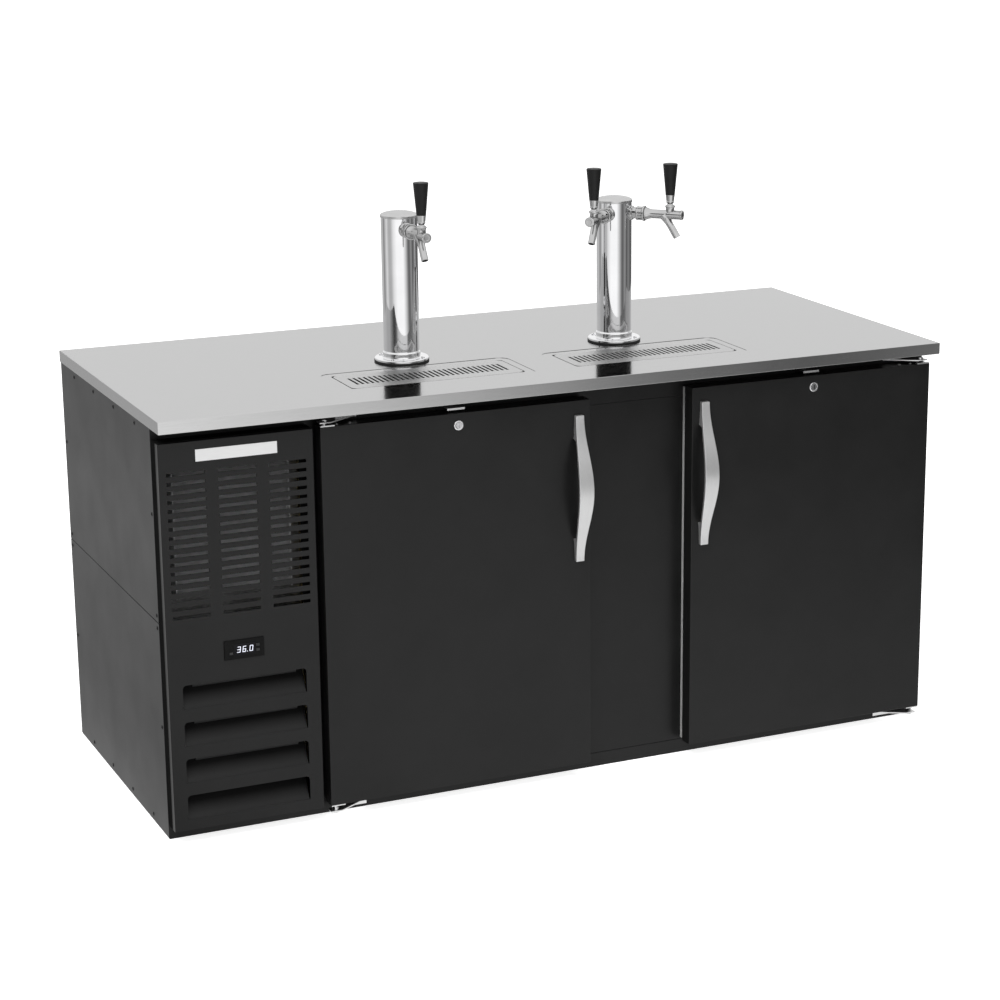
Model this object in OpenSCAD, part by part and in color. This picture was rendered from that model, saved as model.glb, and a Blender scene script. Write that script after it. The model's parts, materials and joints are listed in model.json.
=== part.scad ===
// Direct-draw beer dispenser: a two-door keg cooler with a machine bay on the left,
// a steel worktop with two drip trays, and two draught towers that carry three taps.
// Millimetres. X runs to the right, Y to the back and Z up.
// The origin is on the floor, at the centre of the cabinet's footprint.

/* [Cabinet] */
// Width across the side panels
cabinet_w = 1749; // [1700:1:1850]
// Depth from the front frame to the rear panel
cabinet_d = 684; // [660:1:740]
// Height of the worktop's surface
counter_h = 875; // [850:1:920]
// Thickness of the steel sheet
sheet = 1.5; // [1:0.1:2]
// Thickness of an insulated wall with its liner
wall_t = 50; // [44:1:56]
// Clear width of the machine bay
bay_w = 320; // [310:1:340]
// Height of the base
base_h = 30; // [28:1:36]
// Thickness of the base plate and its upturned edges
base_t = 3; // [2:0.5:4]
// Height of the seam between the two panels of the left side
seam_z = 455; // [400:1:500]
// Gap at the seam of the side panels and round the centre panel
seam_gap = 1.5; // [0.5:0.1:3]
// Gap between the floor and the outer panels
panel_foot = 2; // [1:0.5:6]
// Width of the folded lips that the grille panel stands off from
lip_w = 20; // [16:1:30]
// Distance of the centre panel's top below the doors' top
centre_panel_drop = 23.5; // [20:0.5:36]
// Depth of the post between the doors
post_d = 50; // [40:1:70]
// Radius of the tapped holes for legs or castors
leg_hole_r = 5.35; // [4:0.05:7]
// Distance of each leg hole from the base's edges
leg_inset = 60; // [45:1:90]
// Side of the square block round a leg hole
leg_block = 50; // [40:1:60]

/* [Worktop] */
// Height of the worktop's edge
worktop_edge = 25; // [20:0.5:32]
// How far the worktop reaches in front of the cabinet
front_overhang = 67; // [60:1:80]
// How far the worktop reaches past each side
side_overhang = 2; // [1:0.5:6]
// Distance of each tower and tray from the centre line
station_x = 249; // [235:1:280]
// Distance of the trays' centre behind the worktop's front edge
tray_setback = 185; // [175:1:190]
// Width of a drip tray across its rim
tray_w = 418; // [390:1:430]
// Depth of a drip tray across its rim, front to back
tray_d = 173; // [155:1:180]
// Width of the tray's rim at its ends
tray_rim_x = 18; // [12:1:24]
// Width of the tray's rim at its front and back
tray_rim_y = 21; // [14:1:26]
// Thickness of the rim, which lies in the worktop's opening
rim_t = 0.8; // [0.5:0.1:1.5]
// Depth of the tray below its rim
tray_drop = 19; // [15:0.5:20]
// Depth of the drip grille's surface below the worktop
grille_drop = 0.5; // [0:0.5:3]
// Thickness of a drip grille's sheet
grille_plate_t = 1.5; // [1.2:0.1:3]
// Height of a drip grille's turned-down edge
grille_edge_h = 5.5; // [5:0.1:6.5]
// Gap between a drip grille and the ends of its tray
grille_play = 2; // [0.6:0.1:3]
// Number of slots in a drip grille
drip_slots = 31; // [15:1:33]
// Distance from one drip slot to the next
drip_slot_pitch = 11; // [9:0.5:11]
// Width of a drip slot
drip_slot_w = 5.2; // [3:0.1:6]
// Length of a drip slot
drip_slot_len = 62; // [40:1:80]
// Inner radius of the tray's drain
drain_r = 6; // [4:0.5:8]

/* [Machine grille] */
// Gap between the grille panel and the left door
grille_gap = 16; // [12:0.5:20]
// Gap between the grille panel's back edge and the cabinet
standoff = 4; // [2:0.5:8]
// Columns of air slots
slot_cols = 3; // [1:1:3]
// Rows of air slots
slot_rows = 17; // [5:1:18]
// Length of an air slot
slot_len = 77; // [60:1:85]
// Height of an air slot
slot_h = 7; // [5:0.5:10]
// Distance between columns of slots
slot_col_pitch = 103; // [95:1:104]
// Distance between rows of slots
slot_row_pitch = 18; // [14:0.5:18]
// Distance of the top row of slots below the panel's top
slot_drop = 62.5; // [52:0.5:66]
// Number of louvres
louvres = 4; // [1:1:4]
// Width of a louvre
louvre_w = 256; // [200:1:270]
// Height of a louvre
louvre_h = 50; // [35:1:55]
// Distance of the lowest louvre above the panel's bottom edge
louvre_foot = 23.5; // [18:0.5:40]
// Distance of the top louvre below the controller's centre
louvre_drop = 60; // [58:1:80]
// Inward lean of a louvre
louvre_lean = 28; // [20:1:35]
// Width of the bare plate above the slots
plate_w = 165; // [120:1:200]
// Height of the bare plate
plate_h = 24; // [18:1:30]
// Distance of the bare plate's centre below the panel's top
plate_drop = 28.5; // [24:0.5:34]

/* [Controller] */
// Width of the controller's face
face_w = 82; // [76:1:90]
// Height of the controller's face
face_h = 39; // [36:1:44]
// How far the face stands out of the panel
face_t = 3.5; // [3:0.5:6]
// Distance of the controller's centre below the panel's top
controller_drop = 430.5; // [415:0.5:440]
// Width of the hole behind the face
cutout_w = 71; // [66:1:72]
// Height of the hole behind the face
cutout_h = 29; // [26:1:31]
// Depth of the case behind the panel
case_d = 40; // [30:1:42]
// Width of a key
key_w = 7; // [5:0.5:8]
// Height of a key
key_h = 5; // [4:0.5:6]
// How far a key stands out, and a little more than it travels
key_proud = 0.8; // [0.6:0.1:1.2]

/* [Doors] */
// Width of a door
door_w = 586; // [560:1:600]
// Thickness of a door without its gasket
door_t = 35; // [32:0.5:42]
// Thickness of the gasket between door and frame
gasket_t = 12; // [10:0.5:14]
// Width of the gasket
gasket_w = 20; // [16:1:24]
// Overlap of a door past its opening
door_lap = 42; // [40:1:48]
// Gap between the base and the doors
door_foot_gap = 1.5; // [1:0.5:4]
// Gap between the doors and the worktop
door_head_gap = 23.5; // [22:0.5:28]
// Depth of the raised panel inside a door
plinth_d = 18; // [14:1:24]
// Distance of the hinge pin from the door's edge
hinge_inset = 14; // [12:0.5:18]
// Distance of the hinge pin behind the door's face
hinge_back = 17; // [15:0.5:19]
// Radius of a hinge pin
hinge_pin_r = 5; // [4:0.1:6]
// Length of a hinge pin inside the door
hinge_pin_len = 20; // [14:1:30]
// Thickness of a hinge plate
hinge_plate_t = 3; // [2.5:0.5:4]
// Length of a hinge plate along the cabinet
hinge_plate_len = 92; // [70:1:110]
// Height of the collar between a door and the hinge plate under it
hinge_collar_low = 14.5; // [2.5:0.5:15]
// Height of the collar between a door and the hinge plate above it
hinge_collar_top = 5; // [2.5:0.5:8]
// Length of a door handle
handle_len = 312; // [260:1:360]
// Distance of the handle's top below the door's top
handle_top = 30; // [24:1:60]
// Distance of a handle from the door's free edge
handle_inset = 27; // [22:1:40]
// Width of a handle at its ends
handle_end_w = 18.5; // [14:0.5:24]
// Width of a handle in the middle
handle_mid_w = 33; // [24:0.5:38]
// How far a handle stands out in the middle
handle_reach = 44; // [30:0.5:50]
// How far a handle stands out at its ends
handle_end_t = 10; // [6:0.5:14]
// Thickness of a handle's bow
handle_bow_t = 6.5; // [5:0.5:9]
// Length of a handle's foot on the door
handle_foot = 48; // [36:1:56]
// Radius of a lock's face
lock_face_r = 10.5; // [9:0.5:13]
// Radius of a lock's barrel
lock_barrel_r = 9; // [8:0.1:10]
// Radius of the turning plug in a lock
lock_plug_r = 6.5; // [5:0.1:7]
// Distance of a lock below the door's top
lock_drop = 24.5; // [22:0.5:26]
// Width of the cam on a lock
cam_w = 12; // [10:0.5:13]
// Width of a lock's strike
strike_w = 38; // [30:1:50]

/* [Towers] */
// Radius of a tower column
column_r = 38.1; // [36:0.1:42]
// Wall of a tower column
column_wall = 1.6; // [1.2:0.1:3]
// Height of a column's top above the taps' axis
column_rise = 21; // [19:0.5:60]
// Distance of the towers behind the worktop's front edge
tower_setback = 336.5; // [330:0.5:400]
// Radius of a tower's base flange
flange_r = 57; // [54:0.5:65]
// Thickness of a base flange
flange_t = 6.5; // [4:0.5:8]
// Thickness of the gasket under a flange
tower_gasket_t = 2.5; // [2:0.5:6]
// Height of the ring at the column's foot
foot_ring_h = 14; // [10:1:24]
// Radius of the circle of flange screws
flange_screw_circle = 48.5; // [47:0.5:50]
// Radius of the hole for the beer lines
line_hole_r = 30; // [20:1:32]

/* [Taps] */
// Height of the taps' axis above the worktop
tap_h = 282; // [200:1:340]
// Angle of the double tower's taps from straight ahead
tap_spread = 45.5; // [44:0.5:65]
// Distance of the tap lever from the tower's axis
lever_reach = 127; // [124:1:140]
// Length of the faucet's body past the lever
nose_len = 29; // [22:0.5:32]
// Radius of the faucet's body
faucet_r = 9.8; // [9.4:0.1:12]
// Radius of the faucet's inner bore
faucet_bore_r = 6.1; // [5.8:0.1:6.4]
// Radius of a shank
shank_r = 12.2; // [11.5:0.1:12.6]
// Radius of the coupling nut
nut_r = 15.2; // [14.6:0.1:18]
// Drop of the spout's end below the tap's axis
spout_drop = 48; // [40:1:60]
// Outward run of the spout
spout_run = 29; // [20:1:32]
// Outer radius of the spout
spout_r = 7.6; // [7:0.1:9]
// Height of the lever's pivot above the tap's axis
pivot_rise = 18; // [17.5:0.5:20]
// Radius of the lever's ball
ball_r = 8; // [7.5:0.1:8.2]
// Length of a tap handle
tap_handle_len = 67; // [50:1:120]
// Radius of a tap handle at its top
tap_handle_top_r = 16; // [12:0.5:20]
// Radius of a tap handle at its foot
tap_handle_foot_r = 10; // [9:0.5:12]
// Length of the ferrule under a tap handle
ferrule_len = 15; // [10:1:20]

/* [Machinery] */
// Width of the condenser coil
coil_w = 240; // [232:1:300]
// Height of the condenser coil
coil_h = 296; // [280:1:330]
// Thickness of the condenser coil
coil_d = 40; // [30:1:60]
// Gap between the coil's top and the worktop
coil_head = 60; // [50:1:90]
// Radius of the condenser fan
fan_r = 105; // [90:1:110]
// Number of blades on each fan
fan_blades = 5; // [3:1:7]
// Radius of each fan's shaft
fan_shaft_r = 4; // [3:0.1:5]
// Radius of the compressor
compressor_r = 75; // [60:1:85]
// Height of the compressor
compressor_h = 190; // [150:1:230]
// Distance of the compressor's axis from the cold space's rear wall
compressor_setback = 140; // [120:1:200]
// Gap between the evaporator's cover and the rear wall
evaporator_gap = 30; // [10:1:60]
// Length of the evaporator's cover
evaporator_len = 360; // [300:1:400]
// Height of the evaporator's cover
evaporator_h = 280; // [270:1:300]
// Depth of the evaporator's cover
evaporator_d = 85; // [80:1:100]
// Radius of the evaporator fan
cool_fan_r = 66; // [55:1:68]
// Radius of the refrigerant pipes
pipe_r = 4; // [3:0.5:5]
// Radius of the gas-line port through the rear wall
gas_port_r = 12.7; // [10:0.1:15]

/* [Fits] */
// Radial clearance of a turning or sliding fit
run_fit = 0.05; // [0.02:0.01:0.1]
// Clearance between fixed pieces that fit into each other
seat_fit = 0.3; // [0.1:0.05:0.5]
// Gap left between moving pieces
move_gap = 0.3; // [0.2:0.05:0.4]

/* [Hidden] */
$fn = 48;

// Colours
black_paint = [0.17, 0.17, 0.17];
steel = [0.80, 0.80, 0.80];
chrome = [0.86, 0.86, 0.88];
satin = [0.72, 0.72, 0.72];
dark_plastic = [0.10, 0.10, 0.10];
foam = [0.85, 0.78, 0.60];
liner_white = [0.88, 0.89, 0.90];
seal_grey = [0.70, 0.70, 0.69];
copper = [0.72, 0.45, 0.30];

// Outside of the cabinet
x_l = -cabinet_w / 2;
x_r = cabinet_w / 2;
y_f = -cabinet_d / 2;
y_b = cabinet_d / 2;
top_z = counter_h - worktop_edge;

// Machine bay and insulated box
bay_x0 = x_l + sheet;
bay_x1 = bay_x0 + bay_w;
bay_xc = (bay_x0 + bay_x1) / 2;
box_x1 = x_r - sheet;
in_x0 = bay_x1 + wall_t;
in_x1 = box_x1 - wall_t;
in_y1 = y_b - sheet - wall_t;
door_z0 = base_h + door_foot_gap;
door_z1 = top_z - door_head_gap;
in_z0 = door_z0 + door_lap;
in_z1 = door_z1 - door_lap;
open_w = door_w - 2 * door_lap;
post_x0 = in_x0 + open_w;
post_x1 = in_x1 - open_w;
slab_gap = 0.5;

// Doors, as pairs of left and right
door_x0 = [in_x0 - door_lap, in_x1 + door_lap - door_w];
door_xc = [door_x0[0] + door_w / 2, door_x0[1] + door_w / 2];
door_y1 = y_f - gasket_t;
door_y0 = door_y1 - door_t;
hinge_side = [-1, 1];
pivot_x = [door_x0[0] + hinge_inset, door_x0[1] + door_w - hinge_inset];
pivot_y = door_y0 + hinge_back;
lock_z = door_z1 - lock_drop;
handle_x = [door_x0[0] + door_w - handle_inset, door_x0[1] + handle_inset];
cam_y0 = door_y0 + 15.5;
cam_t = 2.5;
lock_face_t = 3;
strike_t = 2;
strike_lip_z = door_z1 + 4;
strike_tab_z = strike_lip_z + 3;
cam_len = strike_tab_z - 1 - lock_z;

// Worktop
worktop_w = cabinet_w + 2 * side_overhang;
worktop_y0 = y_f - front_overhang;
worktop_x0 = -worktop_w / 2;
skin_z = counter_h - sheet;
station = [-station_x, station_x];
tray_y = worktop_y0 + tray_setback;
pan_w = tray_w - 2 * tray_rim_x;
pan_d = tray_d - 2 * tray_rim_y;
pan_corner = 8;
rim_corner = 22;
rim_fit = 1;
grille_corner = 15;
ledge_w = 5;
pan_wall_w = pan_w + 2 * sheet;
pan_wall_d = pan_d + 2 * sheet;
drain_wall = 2;
drain_foot = 15;
drain_flange = 7;

// Grille panel
grille_x0 = x_l + 0.5;
grille_x1 = door_x0[0] - grille_gap;
grille_xc = (grille_x0 + grille_x1) / 2;
grille_back = y_f - standoff;
controller_z = door_z1 - controller_drop;
louvre_z = door_z0 + louvre_foot;
louvre_pitch = (controller_z - louvre_drop - louvre_h - louvre_z) / max(louvres - 1, 1);
flange_back_w = 15;
standoff_r = 4;
standoff_inset = 60;

// Towers and taps
tower_y = worktop_y0 + tower_setback;
gasket_z = counter_h + tower_gasket_t;
tap_z = counter_h + tap_h;
column_top = tap_z + column_rise;
taps = [[station[0], 0], [station[1], -tap_spread], [station[1], tap_spread]];
shank_in = 24;
collar_r = 15.5;
collar_reach = column_r + 6;
nut_y0 = column_r + 14;
nut_y1 = nut_y0 + 19;
nut_lip = 1.3;
boss_r = 10.6;
bonnet_h = 6;
ball_bore_r = ball_r + seat_fit;
stem_r = 3.2;
finger_r = 2;
tap_tilt = 30;
plunger_r = faucet_bore_r - run_fit;
slot_back = 3.2;
slot_front = 6.4;
ferrule_foot = 10;
handle_foot_z = ferrule_foot + ferrule_len;

// Machinery
coil_y0 = y_f + 12;
coil_z = top_z - coil_head - coil_h;
shroud_y = coil_y0 + coil_d;
shroud_w = bay_w - 20;
fan_z = coil_z + coil_h / 2;
fan_gap = 9;
fan_y0 = shroud_y + 4;
fan_depth = 26;
motor_y0 = fan_y0 + fan_depth + 10;
strap_x = fan_r + fan_gap + 6;
compressor_y = in_y1 - compressor_setback;
grommet_h = 10;
compressor_foot = base_t + grommet_h;
evap_y0 = in_y1 - evaporator_gap - evaporator_len;
evap_yc = evap_y0 + evaporator_len / 2;
evap_z1 = in_z1 - 6;
evap_z0 = evap_z1 - evaporator_h;
evap_coil_h = 112;
evap_coil_d = 50;
cool_fan_z = evap_z1 - cool_fan_r - 9;
cool_fan_x0 = in_x0 + 46;
cool_fan_depth = 20;
pipe_fit = 0.5;
suction_x = bay_x1 - 25;
suction_z = evap_z0 + 60;
liquid_x = bay_xc + 100;
liquid_y = compressor_y - 60;
liquid_z = evap_z0 + 30;
discharge_x = bay_xc - compressor_r - 25;
discharge_z = coil_z + 50;
pipe_start_z = compressor_foot + 130;
gas_port = [in_x1 - 120, in_z0 + 150];
sleeve_wall = 4;
gland = [bay_xc, base_h + 60];
gland_r = 10;
gland_in = 12;
gland_out = 6;
gland_lip = 3;
cord_r = 4;
sleeve_lip = 7;
sleeve_lip_t = 2;
screw_r = 4;
screw_head_t = 1.2;
screw_edge = 13;
screw_end = 110;
screw_rows = 4;
nut_flute_r = 3;
faucet_taper = 14;
lever_relief = 9.6;
spout_wall = 2;
spout_shoulder = 4;
vent_w = 90;
vent_h = 6;
vent_pitch = 20;
vent_rows = 12;

// A box from its corner coordinates
module span(x, y, z) {
    translate([x[0], y[0], z[0]])
        cube([x[1] - x[0], y[1] - y[0], z[1] - z[0]]);
}

// A flat rectangle with round corners, centred
module round_rect(w, d, r) {
    square([w - 2 * r, d], center = true);
    square([w, d - 2 * r], center = true);
    for (sx = [-1, 1], sy = [-1, 1])
        translate([sx * (w / 2 - r), sy * (d / 2 - r)])
            circle(r);
}

// A cylinder along Y that starts at y and runs to the back
module rod_y(x, y, z, r, len) {
    translate([x, y, z])
        rotate([-90, 0, 0])
            cylinder(r = r, h = len);
}

// A cylinder along X that starts at x and runs to the right
module rod_x(x, y, z, r, len) {
    translate([x, y, z])
        rotate([0, 90, 0])
            cylinder(r = r, h = len);
}

// A row of slabs that leaves a rectangular window at each station
module slabs_with_windows(x, y, z, wy, half_w, half_d) {
    edges = [x[0], station[0] - half_w, station[0] + half_w, station[1] - half_w, station[1] + half_w, x[1]];
    for (i = [0 : 2 : 4])
        span([edges[i], edges[i + 1]], y, z);
    for (i = [1, 3]) {
        span([edges[i] + slab_gap, edges[i + 1] - slab_gap], [y[0], wy - half_d], z);
        span([edges[i] + slab_gap, edges[i + 1] - slab_gap], [wy + half_d, y[1]], z);
    }
}

// Places its children on a tap's axis, with the tap facing along -Y
module at_tap(i) {
    translate([taps[i][0], tower_y, tap_z])
        rotate([0, 0, taps[i][1]])
            children();
}

// Turns a profile of radius and reach about a tap's axis
module tap_turned() {
    rotate([90, 0, 0])
        rotate_extrude()
            children();
}

// Base

// The square block round a leg hole, or with a gap the room that its neighbours leave for it
module leg_block_at(sx, sy, gap = 0) {
    translate([sx * (cabinet_w / 2 - leg_inset), sy * (cabinet_d / 2 - leg_inset), base_t - gap])
        translate([-leg_block / 2 - gap, -leg_block / 2 - gap, 0])
            cube([leg_block + 2 * gap, leg_block + 2 * gap, base_h - base_t - slab_gap + 2 * gap]);
}

module base_pan() {
    color(black_paint)
        difference() {
            union() {
                span([bay_x0, box_x1], [y_f, y_b - sheet], [0, base_t]);
                span([bay_x0, box_x1], [y_f, y_f + base_t], [0, base_h]);
                span([bay_x0, box_x1], [y_b - sheet - base_t, y_b - sheet], [0, base_h]);
                span([bay_x0, bay_x0 + base_t], [y_f, y_b - sheet], [0, base_h]);
                span([box_x1 - base_t, box_x1], [y_f, y_b - sheet], [0, base_h]);
                for (sx = [-1, 1], sy = [-1, 1])
                    leg_block_at(sx, sy);
            }
            for (sx = [-1, 1], sy = [-1, 1])
                translate([sx * (cabinet_w / 2 - leg_inset), sy * (cabinet_d / 2 - leg_inset), -1])
                    cylinder(r = leg_hole_r, h = base_h + 2);
            span([bay_x1 - lip_w / 2 - 1.5, bay_x1 - lip_w / 2 + 1.5], [y_f - 1, y_f + base_t / 2],
                 [base_h / 2, base_h + 1]);
        }
}

// Outer panels

module side_sheet(z0, z1) {
    translate([0, 0, z0])
        linear_extrude(z1 - z0) {
            translate([x_l, y_f])
                square([sheet, cabinet_d]);
            translate([x_l, y_f])
                square([lip_w + sheet, sheet]);
        }
}

module left_side_panels() {
    color(black_paint) {
        difference() {
            side_sheet(panel_foot, seam_z - seam_gap / 2);
            span([bay_x0, bay_x0 + lip_w + 1], [y_f - 1, y_f + sheet + 1], [0, base_h]);
        }
        side_sheet(seam_z + seam_gap / 2, top_z);
    }
}

module right_side_panel() {
    color(black_paint)
        span([box_x1, x_r], [y_f, y_b], [panel_foot, top_z]);
}

module rear_panel() {
    color(black_paint)
        difference() {
            span([bay_x0, box_x1], [y_b - sheet, y_b], [panel_foot, top_z]);
            for (i = [0 : vent_rows - 1], s = [-1, 1])
                translate([bay_xc + s * vent_w * 2 / 3 - vent_w / 2, y_b - sheet - 1,
                           coil_z + i * vent_pitch])
                    cube([vent_w, sheet + 2, vent_h]);
            rod_y(gas_port[0], y_b - sheet - 1, gas_port[1], gas_port_r + sleeve_wall + seat_fit, sheet + 2);
            rod_y(gland[0], y_b - sheet - 1, gland[1], gland_r + seat_fit, sheet + 2);
        }
}

module front_frame() {
    color(black_paint) {
        difference() {
            span([bay_x1 - lip_w, box_x1], [y_f, y_f + sheet], [base_h, top_z]);
            span([in_x0, post_x0], [y_f - 1, y_f + sheet + 1], [in_z0, in_z1]);
            span([post_x1, in_x1], [y_f - 1, y_f + sheet + 1], [in_z0, in_z1]);
            span([post_x0, post_x1], [y_f - 1, y_f + sheet + 1], [base_h - 1, door_z1 - centre_panel_drop]);
        }
        span([post_x0 + seam_gap / 2, post_x1 - seam_gap / 2], [y_f, y_f + sheet],
             [base_h + seam_gap, door_z1 - centre_panel_drop - seam_gap]);
    }
}

// Insulation and liner

module insulation() {
    side_z = [in_z0 - sheet + slab_gap, in_z1 + sheet - slab_gap];
    deep = [y_f + sheet, y_b - sheet];
    core_x = [worktop_x0 + sheet, -worktop_x0 - sheet];
    core_z = [top_z, skin_z];
    core_split = tray_y + tray_d / 2;
    color(foam) {
        difference() {
            span([bay_x1, box_x1 - base_t - slab_gap],
                 [y_f + base_t + slab_gap, y_b - sheet - base_t - slab_gap],
                 [base_t, base_h - slab_gap]);
            for (sy = [-1, 1])
                leg_block_at(1, sy, slab_gap);
        }
        span([bay_x1, box_x1], deep, [base_h, in_z0 - sheet]);
        difference() {
            span([bay_x1, box_x1], [in_y1 + sheet, y_b - sheet], side_z);
            rod_y(gas_port[0], in_y1, gas_port[1], gas_port_r + sleeve_wall + seat_fit, wall_t + 2);
        }
        difference() {
            span([bay_x1, in_x0 - sheet], [y_f + sheet, in_y1 + sheet - slab_gap], side_z);
            rod_x(bay_x1 - 1, compressor_y, suction_z, pipe_r + pipe_fit, wall_t + 2);
            rod_x(bay_x1 - 1, liquid_y, liquid_z, pipe_r + pipe_fit, wall_t + 2);
        }
        span([in_x1 + sheet, box_x1], [y_f + sheet, in_y1 + sheet - slab_gap], side_z);
        span([post_x0 + sheet, post_x1 - sheet], [y_f + sheet, y_f + post_d - sheet], [in_z0, in_z1]);
        difference() {
            slabs_with_windows([bay_x1, box_x1], deep, [in_z1 + sheet, top_z - slab_gap], tower_y,
                               line_hole_r, line_hole_r);
            for (x = station)
                translate([x, tray_y, in_z1])
                    cylinder(r = drain_r + drain_wall + seat_fit, h = top_z);
        }
        slabs_with_windows(core_x, [worktop_y0 + sheet, core_split - slab_gap], core_z, tray_y,
                           pan_wall_w / 2 + 1, pan_wall_d / 2 + 1);
        slabs_with_windows(core_x, [core_split, y_b - sheet], core_z, tower_y, line_hole_r, line_hole_r);
    }
}

module inner_liner() {
    color(liner_white)
        difference() {
            span([in_x0 - sheet, in_x1 + sheet], [y_f + sheet, in_y1 + sheet],
                 [in_z0 - sheet, in_z1 + sheet]);
            span([in_x0, in_x1], [y_f + post_d, in_y1], [in_z0, in_z1]);
            span([in_x0, post_x0], [y_f - 1, y_f + post_d + 1], [in_z0, in_z1]);
            span([post_x1, in_x1], [y_f - 1, y_f + post_d + 1], [in_z0, in_z1]);
            span([post_x0 + sheet, post_x1 - sheet], [y_f - 1, y_f + post_d - sheet], [in_z0, in_z1]);
            for (x = station) {
                translate([x, tower_y, in_z1 - 1])
                    cylinder(r = line_hole_r, h = sheet + 2);
                translate([x, tray_y, in_z1 - 1])
                    cylinder(r = drain_r + drain_wall + seat_fit, h = sheet + 2);
            }
            rod_y(gas_port[0], in_y1 - 1, gas_port[1], gas_port_r + sleeve_wall + seat_fit, sheet + 2);
            rod_x(in_x0 - sheet - 1, compressor_y, suction_z, pipe_r + pipe_fit, sheet + 2);
            rod_x(in_x0 - sheet - 1, liquid_y, liquid_z, pipe_r + pipe_fit, sheet + 2);
        }
}

// Worktop and drip trays

module worktop() {
    color(steel)
        difference() {
            span([worktop_x0, -worktop_x0], [worktop_y0, y_b], [top_z, counter_h]);
            span([worktop_x0 + sheet, -worktop_x0 - sheet], [worktop_y0 + sheet, y_b - sheet],
                 [top_z - 1, skin_z]);
            for (x = station) {
                translate([x, tray_y, skin_z - 1])
                    linear_extrude(sheet + 2)
                        round_rect(tray_w + 2 * rim_fit, tray_d + 2 * rim_fit, rim_corner + rim_fit);
                translate([x, tower_y, skin_z - 1])
                    cylinder(r = line_hole_r, h = sheet + 2);
            }
        }
}

// A drip pan's rim rests on the foam core, inside the worktop's opening
module drip_pan() {
    floor_z = -tray_drop;
    ledge_z = sheet - grille_drop - grille_edge_h - move_gap;
    difference() {
        union() {
            linear_extrude(rim_t)
                round_rect(tray_w, tray_d, rim_corner);
            translate([0, 0, floor_z - sheet])
                linear_extrude(tray_drop + sheet)
                    round_rect(pan_wall_w, pan_wall_d, pan_corner + sheet);
        }
        translate([0, 0, ledge_z])
            linear_extrude(tray_drop)
                round_rect(pan_w, pan_d, pan_corner);
        translate([0, 0, floor_z])
            linear_extrude(tray_drop)
                round_rect(pan_w - 2 * ledge_w, pan_d - 2 * ledge_w, pan_corner);
        translate([0, 0, floor_z - sheet - 1])
            cylinder(r = drain_r + drain_wall + seat_fit, h = sheet + 2);
        translate([0, 0, floor_z])
            linear_extrude(tray_drop + ledge_z - sheet)
                round_rect(pan_w, pan_d, pan_corner);
    }
}

module drip_pans() {
    color(steel)
        for (x = station)
            translate([x, tray_y, skin_z])
                drip_pan();
}

// A drain tail hangs by its flange from the pan's floor
module tray_drains() {
    tail_z = in_z1 - drain_foot;
    floor_z = skin_z - tray_drop;
    color(steel)
        for (x = station)
            translate([x, tray_y, 0])
                rotate_extrude()
                    polygon([[drain_r, tail_z], [drain_r + drain_wall, tail_z],
                             [drain_r + drain_wall, floor_z],
                             [drain_r + drain_flange, floor_z], [drain_r + drain_flange, floor_z + 1],
                             [drain_r, floor_z + 1]]);
}

// A drip grille is a slotted sheet whose turned-down edge stands on the pan's ledge
module drip_grille(i) {
    w = pan_w - 2 * grille_play;
    d = pan_d - grille_play;
    fold = grille_plate_t;
    color(satin)
        translate([station[i], tray_y, counter_h - grille_drop])
            difference() {
                translate([0, 0, -grille_edge_h])
                    linear_extrude(grille_edge_h)
                        round_rect(w, d, grille_corner);
                translate([0, 0, -grille_edge_h - 1])
                    linear_extrude(grille_edge_h - fold + 1)
                        round_rect(w - 2 * fold, d - 2 * fold, grille_corner - fold);
                for (k = [0 : drip_slots - 1])
                    translate([(k - (drip_slots - 1) / 2) * drip_slot_pitch, 0, -fold - 1])
                        linear_extrude(fold + 2)
                            square([drip_slot_w, drip_slot_len], center = true);
            }
}

module drip_grille_left() { drip_grille(0); }
module drip_grille_right() { drip_grille(1); }

// Machine bay's front

// A flat louvre shape with round upper corners, drawn from a little below its foot
module louvre_outline(w, h, corner, foot) {
    translate([-w / 2, -foot])
        square([w, h + foot - corner]);
    translate([-w / 2 + corner, 0])
        square([w - 2 * corner, h]);
    for (s = [-1, 1])
        translate([s * (w / 2 - corner), h - corner])
            circle(corner);
}

module louvre_hole() {
    rotate([90, 0, 0])
        translate([0, 0, -sheet - 1])
            linear_extrude(sheet + 2)
                louvre_outline(louvre_w, louvre_h, 8, 0);
}

module louvre_flap() {
    rotate([90 - louvre_lean, 0, 0])
        translate([0, 0, -sheet])
            linear_extrude(sheet)
                louvre_outline(louvre_w - 3, louvre_h / cos(louvre_lean), 12, 2);
}

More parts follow.
